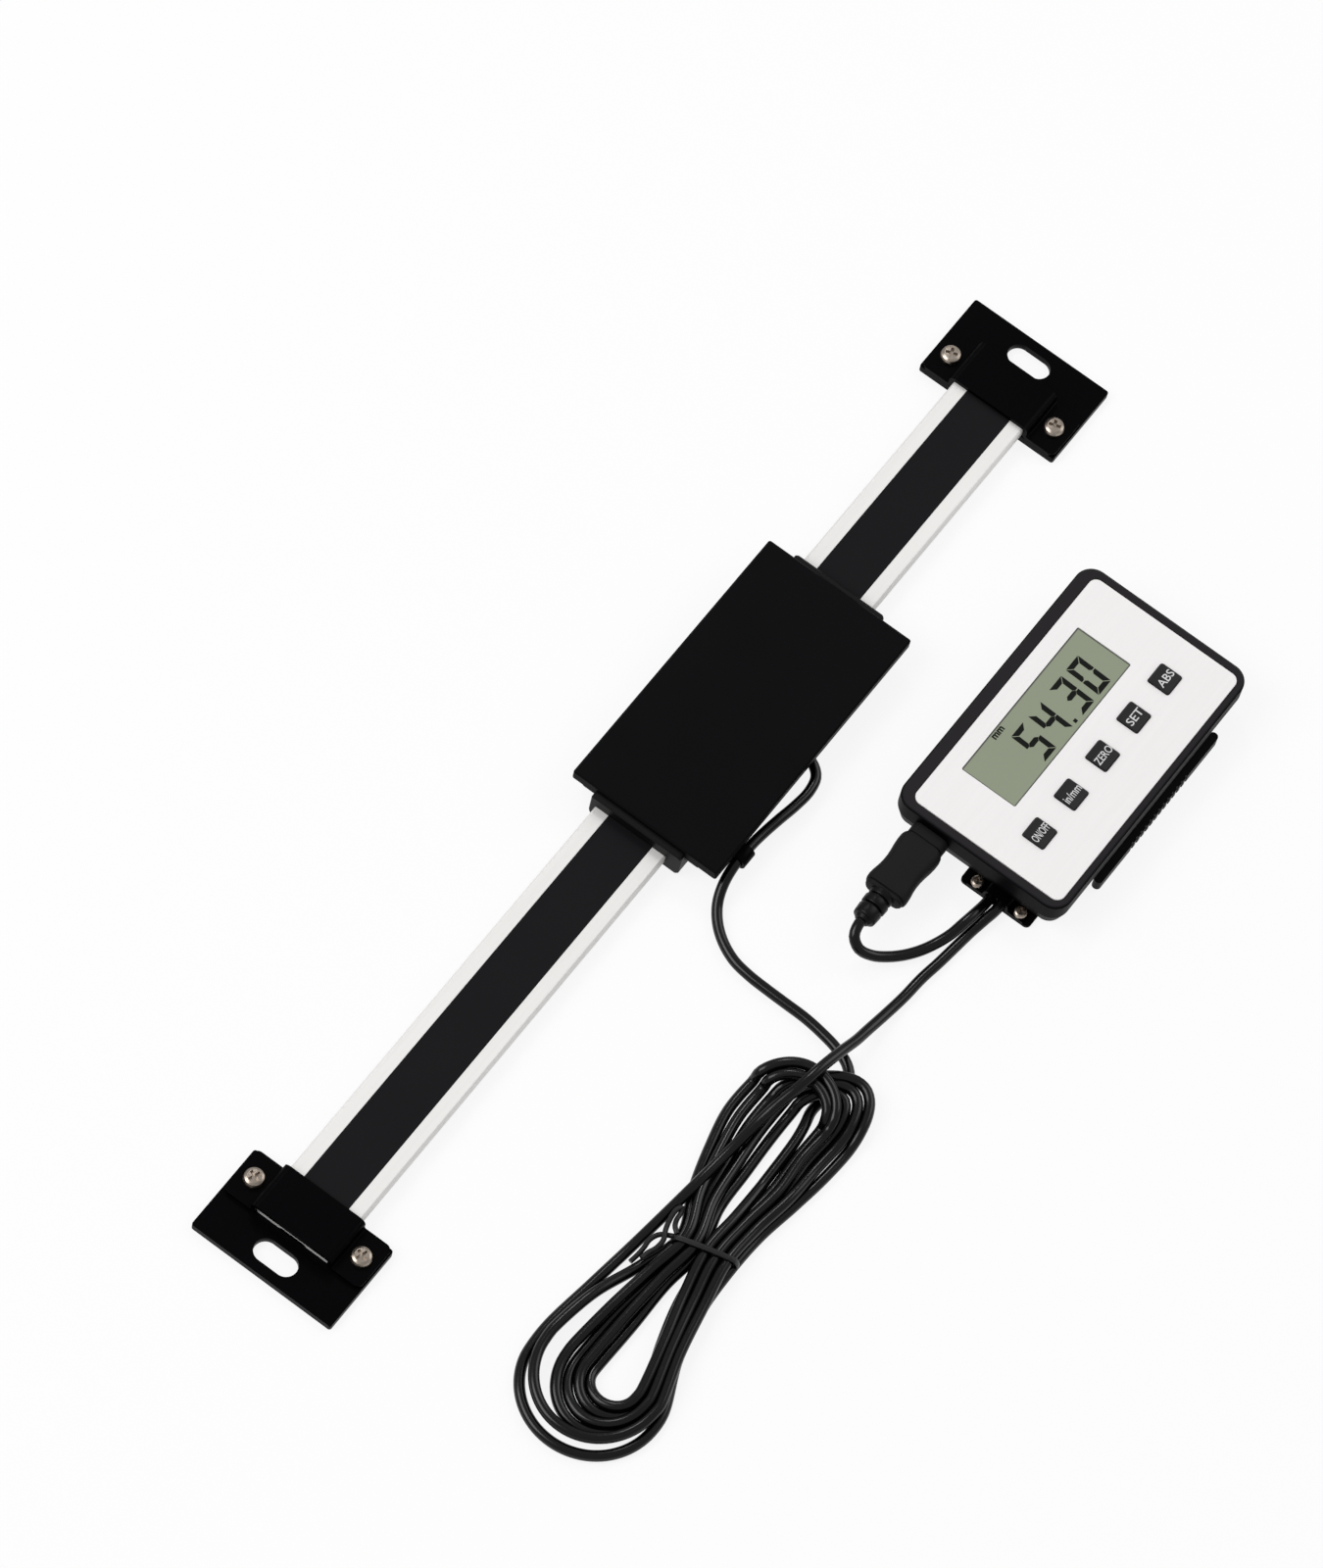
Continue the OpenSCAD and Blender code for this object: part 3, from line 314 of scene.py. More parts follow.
# Each finish: name, darker and lighter shade, roughness, then shine, grain and depth of
# grain for a moulded one, and the stretch of the lines for a brushed one
looks = {
    "rail": brushed(
        "railMetal", (0.68, 0.67, 0.655), (0.8, 0.79, 0.775), 0.55, (0.02, 1, 1), metallic=0.3
    ),
    "film": moulded(
        "blackFilm", (0.0055, 0.0055, 0.0065), (0.0085, 0.0085, 0.0095), 0.5, 0.06, 1800, 0.1
    ),
    "paint": moulded(
        "blackPaint", (0.0004, 0.0004, 0.0006), (0.0012, 0.0012, 0.0017), 0.34, 0.03, 1500, 0.2
    ),
    "cover": moulded(
        "coverBlack", (0.0024, 0.0024, 0.0028), (0.0042, 0.0042, 0.0048), 0.45, 0.03, 3000, 0.3
    ),
    "body": moulded(
        "bodyBlack", (0.004, 0.004, 0.0045), (0.007, 0.007, 0.008), 0.4, 0.15, 2000, 0.2
    ),
    "rubber": moulded(
        "blackRubber", (0.002, 0.002, 0.002), (0.005, 0.005, 0.005), 0.5, 0.12, 2500, 0.2
    ),
    "case": caseLook(),
    "door": moulded(
        "doorPlastic", (0.0022, 0.0022, 0.0027), (0.0045, 0.0045, 0.005), 0.42, 0.05, 2600, 0.25
    ),
    "jacket": moulded(
        "cordJacket", (0.0006, 0.0006, 0.0009), (0.0014, 0.0014, 0.0018), 0.2, 0.3, 1200, 0.03
    ),
    "plug": moulded(
        "plugPlastic", (0.0085, 0.0085, 0.009), (0.0125, 0.0125, 0.013), 0.55, 0.06, 2600, 0.3
    ),
    "boot": moulded(
        "bootRubber", (0.0015, 0.0015, 0.002), (0.0035, 0.0035, 0.0042), 0.36, 0.15, 2500, 0.2
    ),
    "key": keyLook(),
    "nickel": screwLook(),
    "brass": brushed("gibBrass", (0.55, 0.36, 0.12), (0.75, 0.53, 0.22), 0.3, (0.05, 1, 1)),
    "face": brushed(
        "facePlate", (0.735, 0.715, 0.715), (0.815, 0.795, 0.795), 0.55, (0.05, 1, 1),
        metallic=0.1, depth=0.06,
    ),
    "board": boardLook(),
    "chip": moulded("chipPlastic", (0.01, 0.01, 0.01), (0.02, 0.02, 0.02), 0.45, 0.5, 3000, 0.2),
    "cell": cellLook(),
    "glass": windowLook(),
    "ink": moulded("legendInk", (0.5, 0.5, 0.5), (0.66, 0.66, 0.66), 0.5, 0.2, 2000, 0.05),
    "segment": moulded(
        "segmentInk", (0.0035, 0.0045, 0.0035), (0.006, 0.0075, 0.006), 0.4, 0.1, 2000, 0.05
    ),
    "wire": moulded(
        "tieSleeve", (0.002, 0.002, 0.0024), (0.012, 0.012, 0.013), 0.4, 0.3, 1500, 0.2
    ),
}

# The CAD pieces that take each finish
finishes = {
    "rail": ["beam"],
    "film": ["scale_film"],
    "board": ["scale_board", "reading_board", "main_board"],
    "paint": [
        "bracket_left", "bracket_right", "strap_left", "strap_right", "cord_clip", "cord_saddle",
    ],
    "cover": ["head_cover"],
    "body": ["head_body"],
    "rubber": ["wiper_left", "wiper_right", "cord_bush", "plug_boot"],
    "nickel": [
        "strap_screws_left", "strap_screws_right", "gib_screws", "cover_screws", "clip_screw",
        "plug_shell", "case_screws", "key_domes", "plug_socket", "cell_contacts", "saddle_screws",
    ],
    "brass": ["gib"],
    "chip": ["reading_chip"],
    "plug": ["plug_grip"],
    "case": ["case_front", "case_back", "cord_tray"],
    "door": ["battery_door"],
    "face": ["face_plate"],
    "glass": ["display_glass", "display_window"],
    "key": ["key_power", "key_units", "key_zero", "key_set", "key_abs"],
    "cell": ["battery_cells"],
}


def paint(obj, look):
    obj.data.materials.clear()
    obj.data.materials.append(looks[look])


for look, names in finishes.items():
    for name in names:
        for slot in nodes[name].material_slots:
            slot.material = looks[look]
print("materials made")


# The cord from the head to the plug: points along it, in millimetres
cordRoute = {
    "diameter": 3.2,
    "step": 1.2,
    "exit": (2, -21.9, 5.4),
    "head": [
        (2, -18, 5.4), (2, -20, 5.4), (2, -22.4, 5.4), (1.2, -26.6, 5.3), (-1.5, -29.8, 5.2),
        (-6.5, -31, 5.3), (-12.5, -30.6, 5.6), (-19, -29.6, 6), (-25.5, -28.7, 6.2),
        (-30.5, -28.3, 6.45), (-38.5, -28.3, 6.45), (-44, -29, 4.6), (-48.8, -30.8, 2.8),
        (-53, -34, 1.8), (-56.7, -38.6, 1.6), (-59.3, -44.2, 1.6), (-60.3, -50, 1.6),
        (-60.6, -56.5, 1.6), (-60.7, -63, 1.6), (-60.8, -69.5, 1.6), (-61.5, -75.7, 1.6),
        (-62.7, -81.6, 1.6), (-64.9, -86.8, 1.6), (-68.6, -89.9, 1.6), (-73.3, -89.4, 1.6),
        (-77.5, -87.6, 1.6), (-82, -87.1, 1.6), (-86.6, -88.1, 1.6), (-91.2, -88.8, 1.6),
    ],
    "display": [
        (-176.6, -68.3, 1.6), (-160.9, -70.3, 1.6), (-145.5, -72.3, 1.7), (-132.8, -74, 3),
        (-120, -75.7, 4.8), (-105.2, -77.2, 5), (-96.6, -78.3, 6.4), (-89.4, -79.8, 9),
        (-81.8, -81.8, 11.3), (-73.6, -83.1, 11.3), (-65.8, -84.2, 9.2), (-59.5, -85.1, 6.6),
        (-54, -85.5, 4.6), (-46, -86.3, 2.6), (-38.5, -87.1, 1.8), (-31, -87.6, 1.6),
        (-24, -88.6, 1.6), (-17, -89.4, 1.6), (-11, -90.1, 1.7), (-6, -91, 2.2),
        (-1.2, -91.9, 2.8), (5.6, -91.9, 2.8), (8.4, -92.7, 2.8), (11, -94.3, 2.8),
        (13.6, -96.1, 2.8), (16.2, -97.1, 2.8), (19.4, -96.2, 2.8), (21.9, -93.6, 2.8),
        (22.7, -90.2, 2.8), (21.9, -86.8, 2.8), (19.4, -84.2, 2.8), (16.2, -83.3, 2.8),
        (13.6, -84.3, 2.8), (11, -86.1, 2.8), (8.4, -87.7, 2.8), (5.6, -88.5, 2.8),
        (-1.2, -88.5, 2.8), (-6.4, -88.1, 4), (-11, -87.4, 4.1), (-15.8, -86.4, 3.3),
        (-20.4, -84.7, 2.7), (-24.8, -82.6, 2.7), (-28.9, -79.9, 3), (-32.4, -76.8, 3.6),
        (-35.3, -73.4, 4.7), (-36.9, -69.8, 6.7), (-35.6, -66.9, 8.8), (-32.7, -65.9, 9.85),
        (-30.25, -65.9, 10.05), (-25.35, -65.9, 10.05),
    ],
}

# The hank's runs: where each lies across the hank, and how high, at stations along it
hankRuns = {
    "stations": (-96, -108, -121, -134.4, -148, -163, -178),
    "left": [
        (-69.2, -71.7, -75.6, -81.1, -77.4, -72.6, -70.3),
        (-72.7, -74.7, -77.8, -82.7, -80.7, -78.6, -77.2),
        (-76.2, -77.7, -79.9, -84.3, -82.6, -80.7, -80.2),
        (-79.7, -80.7, -82.2, -85.9, -84.4, -83.4, -83),
        (-83.2, -83.7, -84.3, -87.6, -86.1, -86.1, -85.7),
    ],
    "right": [
        (-101.3, -99.7, -97.7, -97.3, -97.9, -101.2, -107.4),
        (-98.3, -97.9, -96.1, -95.7, -98.2, -101.3, -105.8),
        (-95.3, -96.1, -94.5, -94.1, -94.8, -98.4, -104.2),
        (-93.7, -94.4, -92.9, -92.4, -95.1, -98.6, -102.7),
        (-92.2, -92.6, -91.3, -90.8, -91.6, -95.5, -101.1),
        (-89.1, -89.4, -89.6, -89.2, -92, -96, -99.5),
    ],
    "lowest": (1.6, 1.6, 1.6, 2.5, 1.6, 1.6, 1.6),
    "left0": (1.6, 1.6, 1.6, 2.5, 1.6, 3.6, 4.3),
    "left1": (2.2, 2.9, 3.9, 5.3, 4.2, 3.9, 3.6),
    "left3": (2.2, 2.9, 3.9, 5.3, 4.3, 3.9, 3.6),
    "right1": (3.2, 4.3, 4.4, 5.3, 4.8, 4.8, 4.4),
    "right3": (4.3, 4.3, 4.4, 5.3, 4.8, 4.8, 4.4),
    "right5": (1.6, 1.6, 4.2, 5.3, 4.8, 4.8, 4.4),
}

# Its turns. At the foot, each left run is reached from the right run after it. At the
# top, each left run goes over to the right run named in "to".
hankTurns = {
    "points": 13,
    "footX": -180,
    "foot": [{"reach": 19.2}, {"reach": 16}, {"reach": 12.8}, {"reach": 9.6}, {"reach": 6.4}],
    "topX": -85,
    "topLeft": (-69.5, -72.9, -76.4, -79.8, -83.2),
    "topRight": (-101.9, -99, -96, -94.4, -92.4),
    "rise": (0.4, 0.2),
    "top": [
        {"to": 3, "reach": 10.8, "high": 8.1, "power": 1.4},
        {"to": 4, "reach": 7.4, "high": 8.1, "power": 1.3},
        {"to": 0, "reach": 16.8, "high": 4.9, "skew": 0.4},
        {"to": 1, "reach": 13.5, "high": 4.9, "skew": 0.35},
        {"to": 2, "reach": 10.2, "high": 4.9, "skew": 0.3},
    ],
    "last": {"reach": 19.7},
    "lastX": -183.6,
    "lastEnds": ((-108, 1.6), (-68.3, 1.6)),
}


def heights(side, i):
    return hankRuns.get(f"{side}{i}", hankRuns["lowest"])


def run(side, i):
    # One run's points, from the hank's top down.
    return list(zip(hankRuns["stations"], hankRuns[side][i], heights(side, i)))


def turn(x, start, end, form):
    # Half a loop beyond x, between two runs given by place across and height. It
    # reaches up from x at the top and down at the foot.
    side = 1 if "to" in form else -1
    middle, half = (start[0] + end[0]) / 2, (start[0] - end[0]) / 2
    skew, last = form.get("skew", 0), hankTurns["points"] - 1
    points = []
    for i in range(last + 1):
        a = math.pi * i / last
        bulge = math.sin(a) ** (form.get("power", 1) if a < math.pi / 2 else 1)
        bulge *= (1 - skew * math.cos(a)) / (1 + skew ** 2 / 2)
        z = start[1] + (end[1] - start[1]) * i / last
        if "high" in form:
            z += (form["high"] - z) * math.sin(a) ** 0.4
        points.append((x + side * form["reach"] * bulge, middle + half * math.cos(a), z))
    return points


def hankPoints():
    # The whole hank: down the innermost right run, then turn by turn outwards.
    turns, right = hankTurns, len(hankRuns["right"]) - 1
    points = run("right", right)
    while right > 0:
        left = right - 1
        start, end = run("right", right)[-1][1:], run("left", left)[-1][1:]
        points += turn(turns["footX"], start, end, turns["foot"][left])
        points += run("left", left)[::-1]
        form = turns["top"][left]
        right = form["to"]
        start = (turns["topLeft"][left], heights("left", left)[0] + turns["rise"][0])
        end = (turns["topRight"][right], heights("right", right)[0] + turns["rise"][1])
        points += turn(turns["topX"], start, end, form)
        points += run("right", right)
    return points + turn(turns["lastX"], *turns["lastEnds"], turns["last"])


def smooth(points, step, fineness=0.4):
    # Points at an even step along a curve through the given ones (Catmull-Rom).
    line = [Vector(p) for p in points]
    line = [line[0] * 2 - line[1], *line, line[-1] * 2 - line[-2]]
    fine = []
    for a, b, c, d in zip(line, line[1:], line[2:], line[3:]):
        ab, bc, cd = ((q - p).length ** 0.5 for p, q in ((a, b), (b, c), (c, d)))
        t1, t2, t3 = ab, ab + bc, ab + bc + cd
        count = max(2, int((c - b).length / fineness))
        for i in range(count):
            t = t1 + bc * i / count
            p = a.lerp(b, t / t1)
            q = b.lerp(c, (t - t1) / bc)
            r = c.lerp(d, (t - t2) / cd)
            p = p.lerp(q, t / t2)
            q = q.lerp(r, (t - t1) / (t3 - t1))
            fine.append(p.lerp(q, (t - t1) / bc))
    fine.append(line[-2])
    kept = [fine[0]]
    for p in fine[1:]:
        if (p - kept[-1]).length >= step:
            kept.append(p)
    if (kept[-1] - fine[-1]).length < step / 2:
        kept.pop()
    return [*kept, fine[-1]]


def addCurve(name, points, radius, look, sides=6):
    # A round cord or wire along the points, on the head's body.
    curve = bpy.data.curves.new(name, "CURVE")
    curve.dimensions = "3D"
    curve.bevel_depth = radius * mm
    curve.bevel_resolution = sides
    curve.use_fill_caps = True
    spline = curve.splines.new("POLY")
    spline.points.add(len(points) - 1)
    for spot, p in zip(spline.points, points):
        spot.co = (*(p * mm), 1)
    spline.use_smooth = True
    obj = bpy.data.objects.new(name, curve)
    scene.collection.objects.link(obj)
    paint(obj, look)
    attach(obj, "head")
    return obj


route = cordRoute["head"] + hankPoints() + cordRoute["display"]
cordRadius = cordRoute["diameter"] / 2
cordLine = smooth(route, cordRoute["step"])
for p in cordLine:
    p.z = max(p.z, cordRadius)
cordLength = sum((q - p).length for p, q in zip(cordLine, cordLine[1:])) * mm
cord = addCurve("signalCord", cordLine, cordRadius, "jacket")
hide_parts("head_cord", "hank", "display_cord")
print("cord laid", round(cordLength, 3))


def extrude(x, y, z):
    # The chosen faces or edges drawn out by so many millimetres.
    move = {"value": (x * mm, y * mm, z * mm)}
    bpy.ops.mesh.extrude_region_move(TRANSFORM_OT_translate=move)


def closeForm():
    # Out of Edit mode, with every normal outwards.
    bpy.ops.mesh.select_all(action="SELECT")
    bpy.ops.mesh.normals_make_consistent(inside=False)
    bpy.ops.object.mode_set(mode="OBJECT")


def finishMesh(obj, look, body, angle=35):
    # Normals outwards, edges smooth up to the angle, its material and body.
    activate(obj)
    bpy.ops.object.mode_set(mode="EDIT")
    bpy.ops.mesh.select_all(action="SELECT")
    bpy.ops.mesh.remove_doubles(threshold=0.001 * mm)
    closeForm()
    bpy.ops.object.transform_apply(location=True, rotation=True, scale=True)
    bpy.ops.object.shade_smooth_by_angle(angle=math.radians(angle))
    paint(obj, look)
    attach(obj, body)
    clearSelection()
    return obj


def loftAlongX(name, centre, sections, corner=0):
    # A body of sections (x, half width, half height), round or with rounded corners:
    # the end face is drawn out to each section, then widened or narrowed.
    y, z = centre
    x, wide, high = sections[0]
    clearSelection()
    if corner:
        bpy.ops.mesh.primitive_plane_add(size=2 * mm, rotation=(0, math.pi / 2, 0))
    else:
        bpy.ops.mesh.primitive_circle_add(
            vertices=40, radius=mm, fill_type="NGON", rotation=(0, math.pi / 2, 0)
        )
    obj = bpy.context.object
    obj.name = obj.data.name = name
    bpy.ops.object.transform_apply(location=True, rotation=True, scale=True)
    obj.data.transform(Matrix.Diagonal((1, wide, high, 1)))
    obj.data.transform(Matrix.Translation((x * mm, y * mm, z * mm)))
    bpy.ops.object.mode_set(mode="EDIT")
    bpy.ops.mesh.select_all(action="SELECT")
    if corner:
        bpy.ops.mesh.bevel(offset=corner * mm, segments=6, affect="VERTICES")
    for nextX, nextWide, nextHigh in sections[1:]:
        extrude(nextX - x, 0, 0)
        factors = (1, nextWide / wide, nextHigh / high)
        middle = (nextX * mm, y * mm, z * mm)
        bpy.ops.transform.resize(value=factors, center_override=middle)
        x, wide, high = nextX, nextWide, nextHigh
    bpy.ops.object.mode_set(mode="OBJECT")
    return obj


# The plug's grip and boot, as sections: x, half width, half height
plug = {
    "centre": (-65.9, 10.05),
    "corner": 1.9,
    "grip": [
        (-21.3, 4.9, 2.3), (-21.15, 5.6, 2.75), (-20.7, 6.0, 3.0), (-20.3, 6.05, 3.05),
        (-20.25, 5.75, 2.85), (-19.95, 5.75, 2.85), (-19.9, 6.3, 3.4), (-19.6, 6.55, 3.58),
        (-18.6, 6.65, 3.62), (-17, 6.5, 3.62), (-15, 6.15, 3.6), (-13, 5.95, 3.6),
        (-11, 5.95, 3.6), (-9, 6.15, 3.6), (-7, 6.45, 3.6), (-5, 6.62, 3.6),
        (-3.4, 6.6, 3.6), (-2.5, 6.4, 3.58), (-1.95, 6.05, 3.5), (-1.75, 5.7, 3.3),
        (-1.7, 5.2, 2.9), (-1.35, 5.2, 2.9), (-1.3, 5.7, 3.15), (-1.1, 5.8, 3.2),
        (1.7, 5.8, 3.2), (1.95, 5.6, 3.05),
    ],
    "boot": [
        (-31.3, 1.75, 1.75), (-31.2, 2.15, 2.15), (-30.9, 2.35, 2.35), (-30.3, 2.7, 2.7),
        (-30.25, 3.2, 3.2), (-30.05, 3.4, 3.4), (-29.4, 3.5, 3.5), (-27.1, 3.65, 3.65),
        (-26.8, 3.5, 3.5), (-26.7, 2.75, 2.75), (-26.2, 2.75, 2.75), (-26.1, 3.6, 3.6),
        (-25.8, 3.75, 3.75), (-23.9, 3.8, 3.8), (-23.6, 3.65, 3.65), (-23.5, 2.9, 2.9),
        (-22.9, 2.9, 2.9), (-22.8, 3.5, 3.5), (-22.5, 3.65, 3.65), (-21.25, 3.75, 3.75),
    ],
}
grip = loftAlongX("plugGrip", plug["centre"], plug["grip"], plug["corner"])
finishMesh(grip, "plug", "head", 28)
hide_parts("plug_grip")
boot = loftAlongX("plugBoot", plug["centre"], plug["boot"])
finishMesh(boot, "boot", "head", 40)
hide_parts("plug_boot")
print("plug made")


# The wire tie round the hank: its band, leaning by so many degrees, and its loose ends
tie = {
    "centre": (-134.9, -89.2),
    "lean": 15.4,
    "reach": 9.568,
    "low": 0.4,
    "high": 7.5,
    "squareness": 0.6,
    "width": 1.5,
    "thick": 0.7,
    "edge": 0.15,
    "wire": 1.5,
    "step": 0.5,
    "ends": {
        "tieEndA": [
            (-136, -80.4, 6.4), (-134.7, -78.8, 6.4), (-132.4, -77.8, 5.4), (-129.6, -77.4, 4.8),
            (-128.4, -76.7, 5.4), (-130.4, -76.1, 5.6), (-133.4, -76.3, 5.2), (-136.6, -77.2, 5.2),
            (-139.4, -78.5, 5.4), (-142.4, -78.3, 5), (-144.8, -77.3, 4.8), (-147.2, -76.9, 5),
        ],
        "tieEndB": [
            (-136.4, -80.4, 5), (-136.9, -78.6, 4), (-138.2, -76.4, 3.6), (-141, -75.3, 3.6),
            (-143.8, -75.4, 3.4), (-146.4, -75.2, 2.8), (-149, -74.8, 2.6),
        ],
    },
}


def addBand():
    # A flat ring, nearly square, round the waist of the hank and leaning with it.
    clearSelection()
    bpy.ops.mesh.primitive_circle_add(vertices=48, radius=mm, rotation=(0, math.pi / 2, 0))
    band = bpy.context.object
    band.name = band.data.name = "tieBand"
    bpy.ops.object.transform_apply(location=True, rotation=True, scale=True)
    half = (tie["high"] - tie["low"]) / 2
    for v in band.data.vertices:
        y, z = v.co.y, v.co.z
        outwards = (max(abs(y), abs(z)) / mm) ** -tie["squareness"]
        v.co = (-tie["width"] / 2 * mm, y * outwards * tie["reach"], z * outwards * half)
    bpy.ops.object.mode_set(mode="EDIT")
    bpy.ops.mesh.select_all(action="SELECT")
    extrude(tie["width"], 0, 0)
    closeForm()
    wall = band.modifiers.new("wall", "SOLIDIFY")
    wall.thickness = tie["thick"] * mm
    wall.offset = 0
    edge = band.modifiers.new("edge", "BEVEL")
    edge.width = tie["edge"] * mm
    edge.segments = 2
    for name in ("wall", "edge"):
        bpy.ops.object.modifier_apply(modifier=name)
    x, y = tie["centre"]
    middle = Vector((x, y, tie["low"] + half)) * mm
    band.data.transform(Matrix.Rotation(math.radians(tie["lean"]), 4, "Z"))
    band.data.transform(Matrix.Translation(middle))
    return finishMesh(band, "wire", "head")


band = addBand()
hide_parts("hank_tie")
tieEnds = [
    addCurve(name, smooth(points, tie["step"]), tie["wire"] / 2, "wire", 3)
    for name, points in tie["ends"].items()
]
print("tie made")


def addPrism(name, corners, base, thick):
    # A flat form with the given corners, drawn up from its base height.
    clearSelection()
    bpy.ops.mesh.primitive_circle_add(vertices=len(corners), radius=mm, fill_type="NGON")
    form = bpy.context.object
    form.name = form.data.name = name
    for v, (x, y) in zip(form.data.vertices, corners):
        v.co = (x * mm, y * mm, base * mm)
    bpy.ops.object.mode_set(mode="EDIT")
    bpy.ops.mesh.select_all(action="SELECT")
    extrude(0, 0, thick)
    closeForm()
    return form


# The reading's digits: their bars, lettered a to g, and the x each starts at
reading = {
    "bottom": -78.3,
    "height": 11.7,
    "width": 5.9,
    "stroke": 1.6,
    "gap": 0.16,
    "slant": 0.035,
    "thick": 0.03,
    "digits": [("afgcd", 37.55), ("fgbc", 45.7), ("abgcd", 56.0), ("abcdef", 64.15)],
    "point": (53.5, -77.7, 0.55),
}


def segmentCorners(which):
    # Corners of one bar of a digit, from the digit's lower left corner.
    w, h, s, g = (reading[k] for k in ("width", "height", "stroke", "gap"))
    flat = [(g, h), (w - g, h), (w - s - g, h - s), (s + g, h - s)]
    side = [
        (0, h - g), (0, h / 2 + g), (s * 0.6, h / 2 + g), (s, h / 2 + g + s * 0.4), (s, h - s - g),
    ]
    bar = [
        (s * 0.55, h / 2), (s + g, h / 2 + s / 2), (w - s - g, h / 2 + s / 2),
        (w - s * 0.55, h / 2), (w - s - g, h / 2 - s / 2), (s + g, h / 2 - s / 2),
    ]
    corners = {"a": flat, "d": flat, "g": bar}.get(which, side)
    if which in "bc":
        corners = [(w - x, y) for x, y in corners]
    if which in "cde":
        corners = [(x, h - y) for x, y in corners]
    return corners


def addReading(top):
    # All bars and the point, joined in one piece on the display's window.
    parts = []
    for bars, left in reading["digits"]:
        for which in bars:
            corners = [
                (left + x + reading["slant"] * y, reading["bottom"] + y)
                for x, y in segmentCorners(which)
            ]
            parts.append(addPrism("bar", corners, top, reading["thick"]))
    x, y, r = reading["point"]
    dot = [(x - r, y - r), (x + r, y - r), (x + r, y + r), (x - r, y + r)]
    parts.append(addPrism("bar", dot, top, reading["thick"]))
    clearSelection()
    for part in parts:
        part.select_set(True)
    bpy.context.view_layer.objects.active = parts[0]
    bpy.ops.object.join()
    digits = bpy.context.object
    digits.name = digits.data.name = "displayDigits"
    return finishMesh(digits, "segment", "head", 10)


def addWords(name, words, middle, base, form, look, body):
    # Lettering fitted to its width and height, standing on a surface.
    clearSelection()
    bpy.ops.object.text_add()
    sign = bpy.context.object
    sign.name = name
    sign.data.body = words
    sign.data.resolution_u = 3
    sign.data.extrude = 0.5
    sign.data.offset = form["swell"]
    bpy.ops.object.convert(target="MESH")
    size = (*form["size"], form["thick"])
    points = [v.co for v in sign.data.vertices]
    low = Vector([min(p[i] for p in points) for i in range(3)])
    high = Vector([max(p[i] for p in points) for i in range(3)])
    factors = [want / has * mm for want, has in zip(size, high - low)]
    place = Vector((*middle, base + form["thick"] / 2)) * mm
    sign.data.transform(Matrix.Translation(-(low + high) / 2))
    sign.data.transform(Matrix.Diagonal((*factors, 1)))
    sign.data.transform(Matrix.Translation(place))
    return finishMesh(sign, look, body, 20)


# Lettering: size is width and height, and swell thickens the strokes
unitsSign = {
    "words": "mm",
    "middle": (36.7, -63.1),
    "size": (4.5, 1.6),
    "thick": 0.03,
    "swell": 0.035,
}
legends = {
    "drop": 0.15,
    "thick": 0.04,
    "swell": 0.006,
    "keys": {
        "key_power": ("ON/OFF", (6.3, 2.5)),
        "key_units": ("in/mm", (6.3, 2.6)),
        "key_zero": ("ZERO", (6.6, 2.4)),
        "key_set": ("SET", (5.9, 2.5)),
        "key_abs": ("ABS", (5.9, 2.5)),
    },
}
windowTop = boxOf("display_window")[1][2]
addReading(windowTop)
addWords(
    "unitsSign", unitsSign["words"], unitsSign["middle"], windowTop, unitsSign, "segment", "head"
)
for name, (words, size) in legends["keys"].items():
    low, high = boxOf(name)
    middle = ((low[0] + high[0]) / 2, (low[1] + high[1]) / 2 - legends["drop"])
    addWords(name + "Legend", words, middle, high[2], {**legends, "size": size}, "ink", name)
print("reading and legends made")


# Edges of CAD pieces that are softened, each by its own width
softening = {
    "weld": 0.002,
    "segments": 2,
    "angle": 40,
    "widths": {
        "head_cover": 0.15, "bracket_left": 0.2, "bracket_right": 0.2, "strap_left": 0.2,
        "strap_right": 0.2, "face_plate": 0.12, "key_power": 0.2, "key_units": 0.2,
        "key_zero": 0.2, "key_set": 0.2, "key_abs": 0.2, "beam": 0.12, "cord_clip": 0.1,
    },
}
for name, width in softening["widths"].items():
    weld = nodes[name].modifiers.new("weld", "WELD")
    weld.merge_threshold = softening["weld"] * mm
    edge = nodes[name].modifiers.new("edge", "BEVEL")
    edge.width = width * mm
    edge.segments = softening["segments"]
    edge.limit_method = "ANGLE"
    edge.angle_limit = math.radians(softening["angle"])
print("edges softened")


# Floor size in metres, strength of its glow and of the world, and the lamps: place,
# size and power
stage = {
    "size": 6,
    "shade": 0.78,
    "glow": 0.86,
    "world": 0.5,
    "lamps": {
        "keyLight": ((-0.9, 0.9, 1.5), 1.2, 22),
        "fillLight": ((1.2, -0.7, 1.1), 1.2, 9),
        "lineLight": ((0.8, 0.85, 1.5), 0.3, 4.2),
    },
}


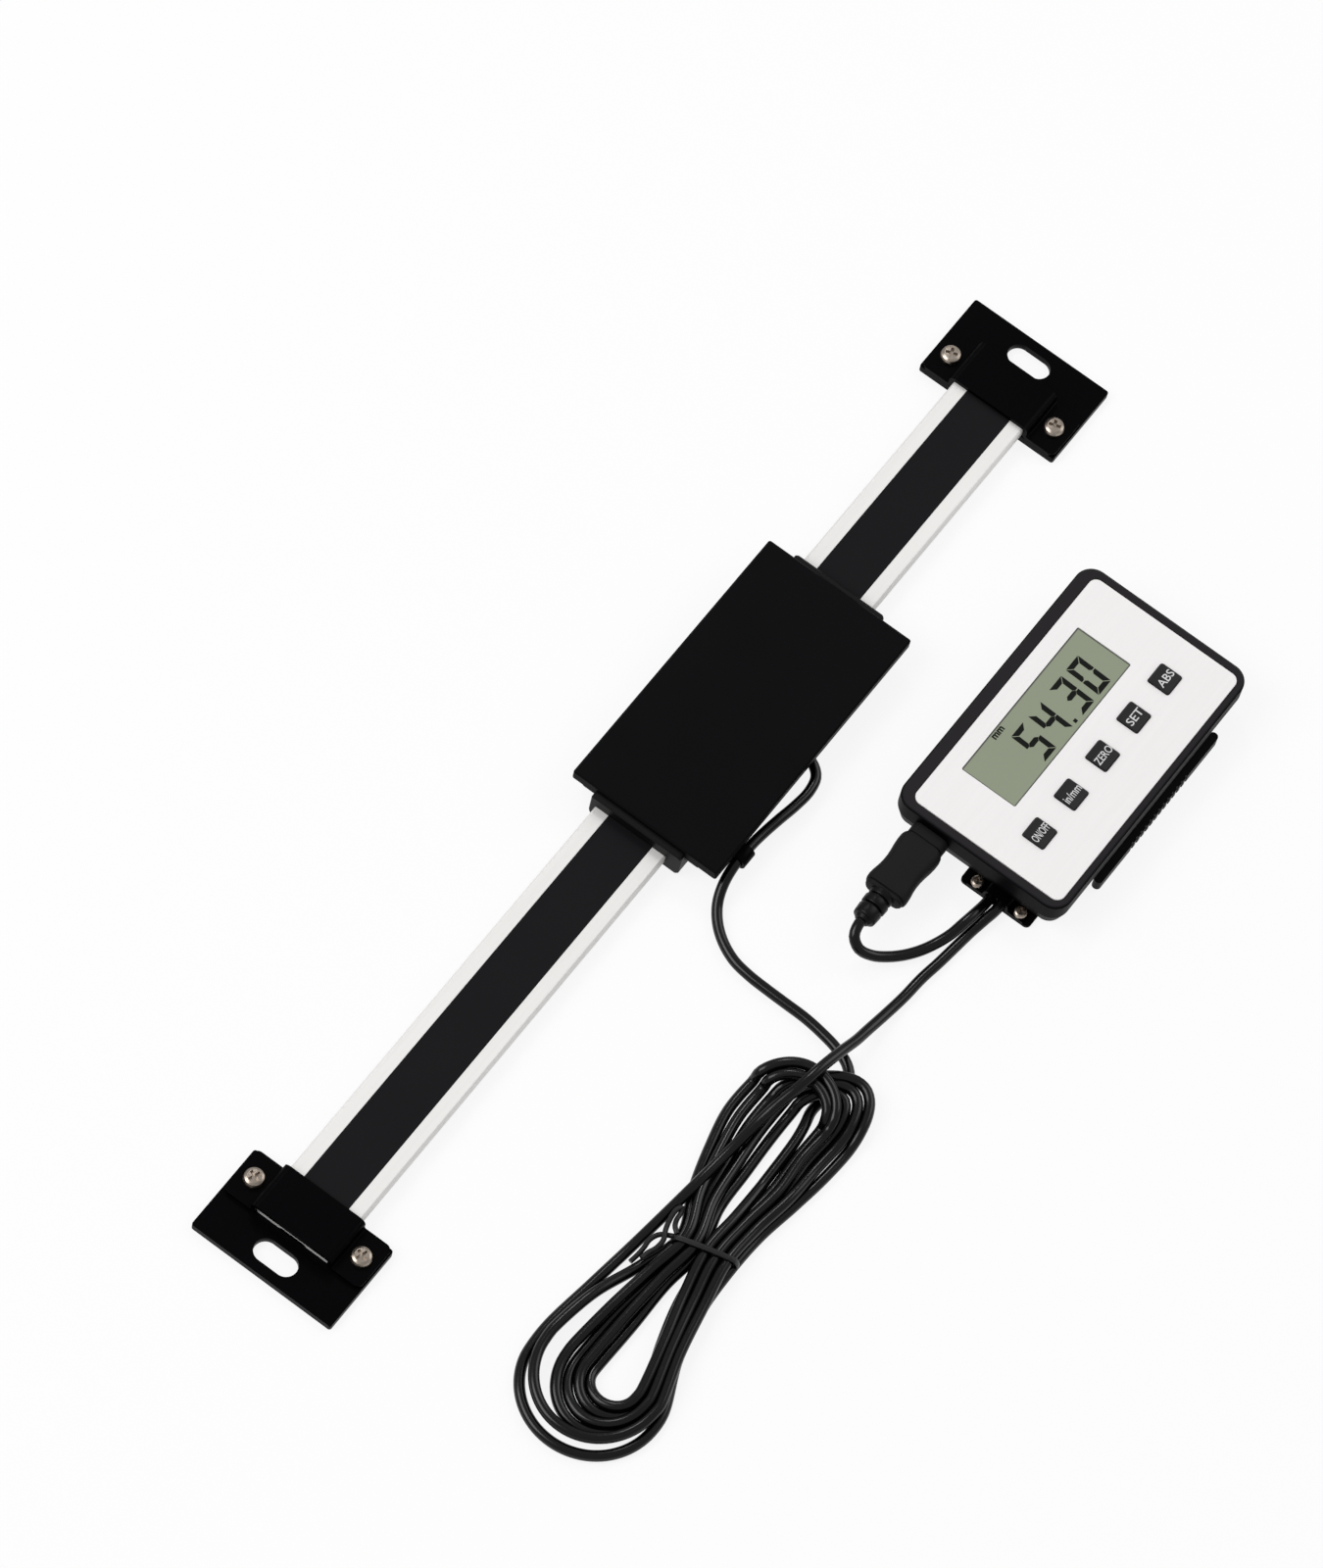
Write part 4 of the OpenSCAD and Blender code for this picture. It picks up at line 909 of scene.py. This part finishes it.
def floorLook():
    # Pale and matt. To the camera, mirrors and clear pieces it also glows, so that it
    # stays white there and keeps its shadows faint.
    s = Shader("groundWhite", Roughness=0.9, **{"Base Color": (stage["shade"],) * 3})
    glow = s.node("ShaderNodeEmission", {"Color": (1, 1, 1, 1), "Strength": 1.0})
    seen = [s.node("ShaderNodeLightPath", {}, f"Is {kind} Ray")
            for kind in ("Camera", "Glossy", "Transmission")]
    share = seen[0].most(seen[1]).most(seen[2]) * stage["glow"]
    plain = Value(s, s.principled.outputs[0])
    blend = s.node("ShaderNodeMixShader", {0: share, 1: plain, 2: glow})
    s.tree.links.new(blend.socket, s.tree.nodes["Material Output"].inputs[0])
    return s.material


clearSelection()
bpy.ops.mesh.primitive_plane_add(size=stage["size"], location=(0, 0, 0))
floor = bpy.context.object
floor.name = "floor"
floor.data.materials.append(floorLook())

world = bpy.data.worlds.new("studio")
scene.world = world
world.use_nodes = True
sky = world.node_tree.nodes["Background"]
sky.inputs["Color"].default_value = (1, 1, 1, 1)
sky.inputs["Strength"].default_value = stage["world"]

for name, (place, size, power) in stage["lamps"].items():
    data = bpy.data.lights.new(name, "AREA")
    data.size = size
    data.energy = power
    lamp = bpy.data.objects.new(name, data)
    lamp.location = place
    lamp.rotation_euler = (-Vector(place)).to_track_quat("-Z", "Y").to_euler()
    scene.collection.objects.link(lamp)

# The camera: its place in metres, and where its right and up point
view = {
    "place": (-0.93440, -0.37780, 2.00918),
    "right": (0.58865, -0.80034, 0.11374),
    "up": (0.69955, 0.57484, 0.42449),
    "lens": 185.84,
    "sensor": 36,
    "farthest": 20,
}
right, up = Vector(view["right"]).normalized(), Vector(view["up"]).normalized()
back = right.cross(up)
cameraData = bpy.data.cameras.new("camera")
cameraData.lens = view["lens"]
cameraData.sensor_width = view["sensor"]
cameraData.clip_end = view["farthest"]
camera = bpy.data.objects.new("camera", cameraData)
camera.location = view["place"]
camera.rotation_euler = Matrix((right, up, back)).transposed().to_euler()
scene.collection.objects.link(camera)
scene.camera = camera
scene.view_settings.view_transform = "Standard"
print("stage, lamps and camera set")
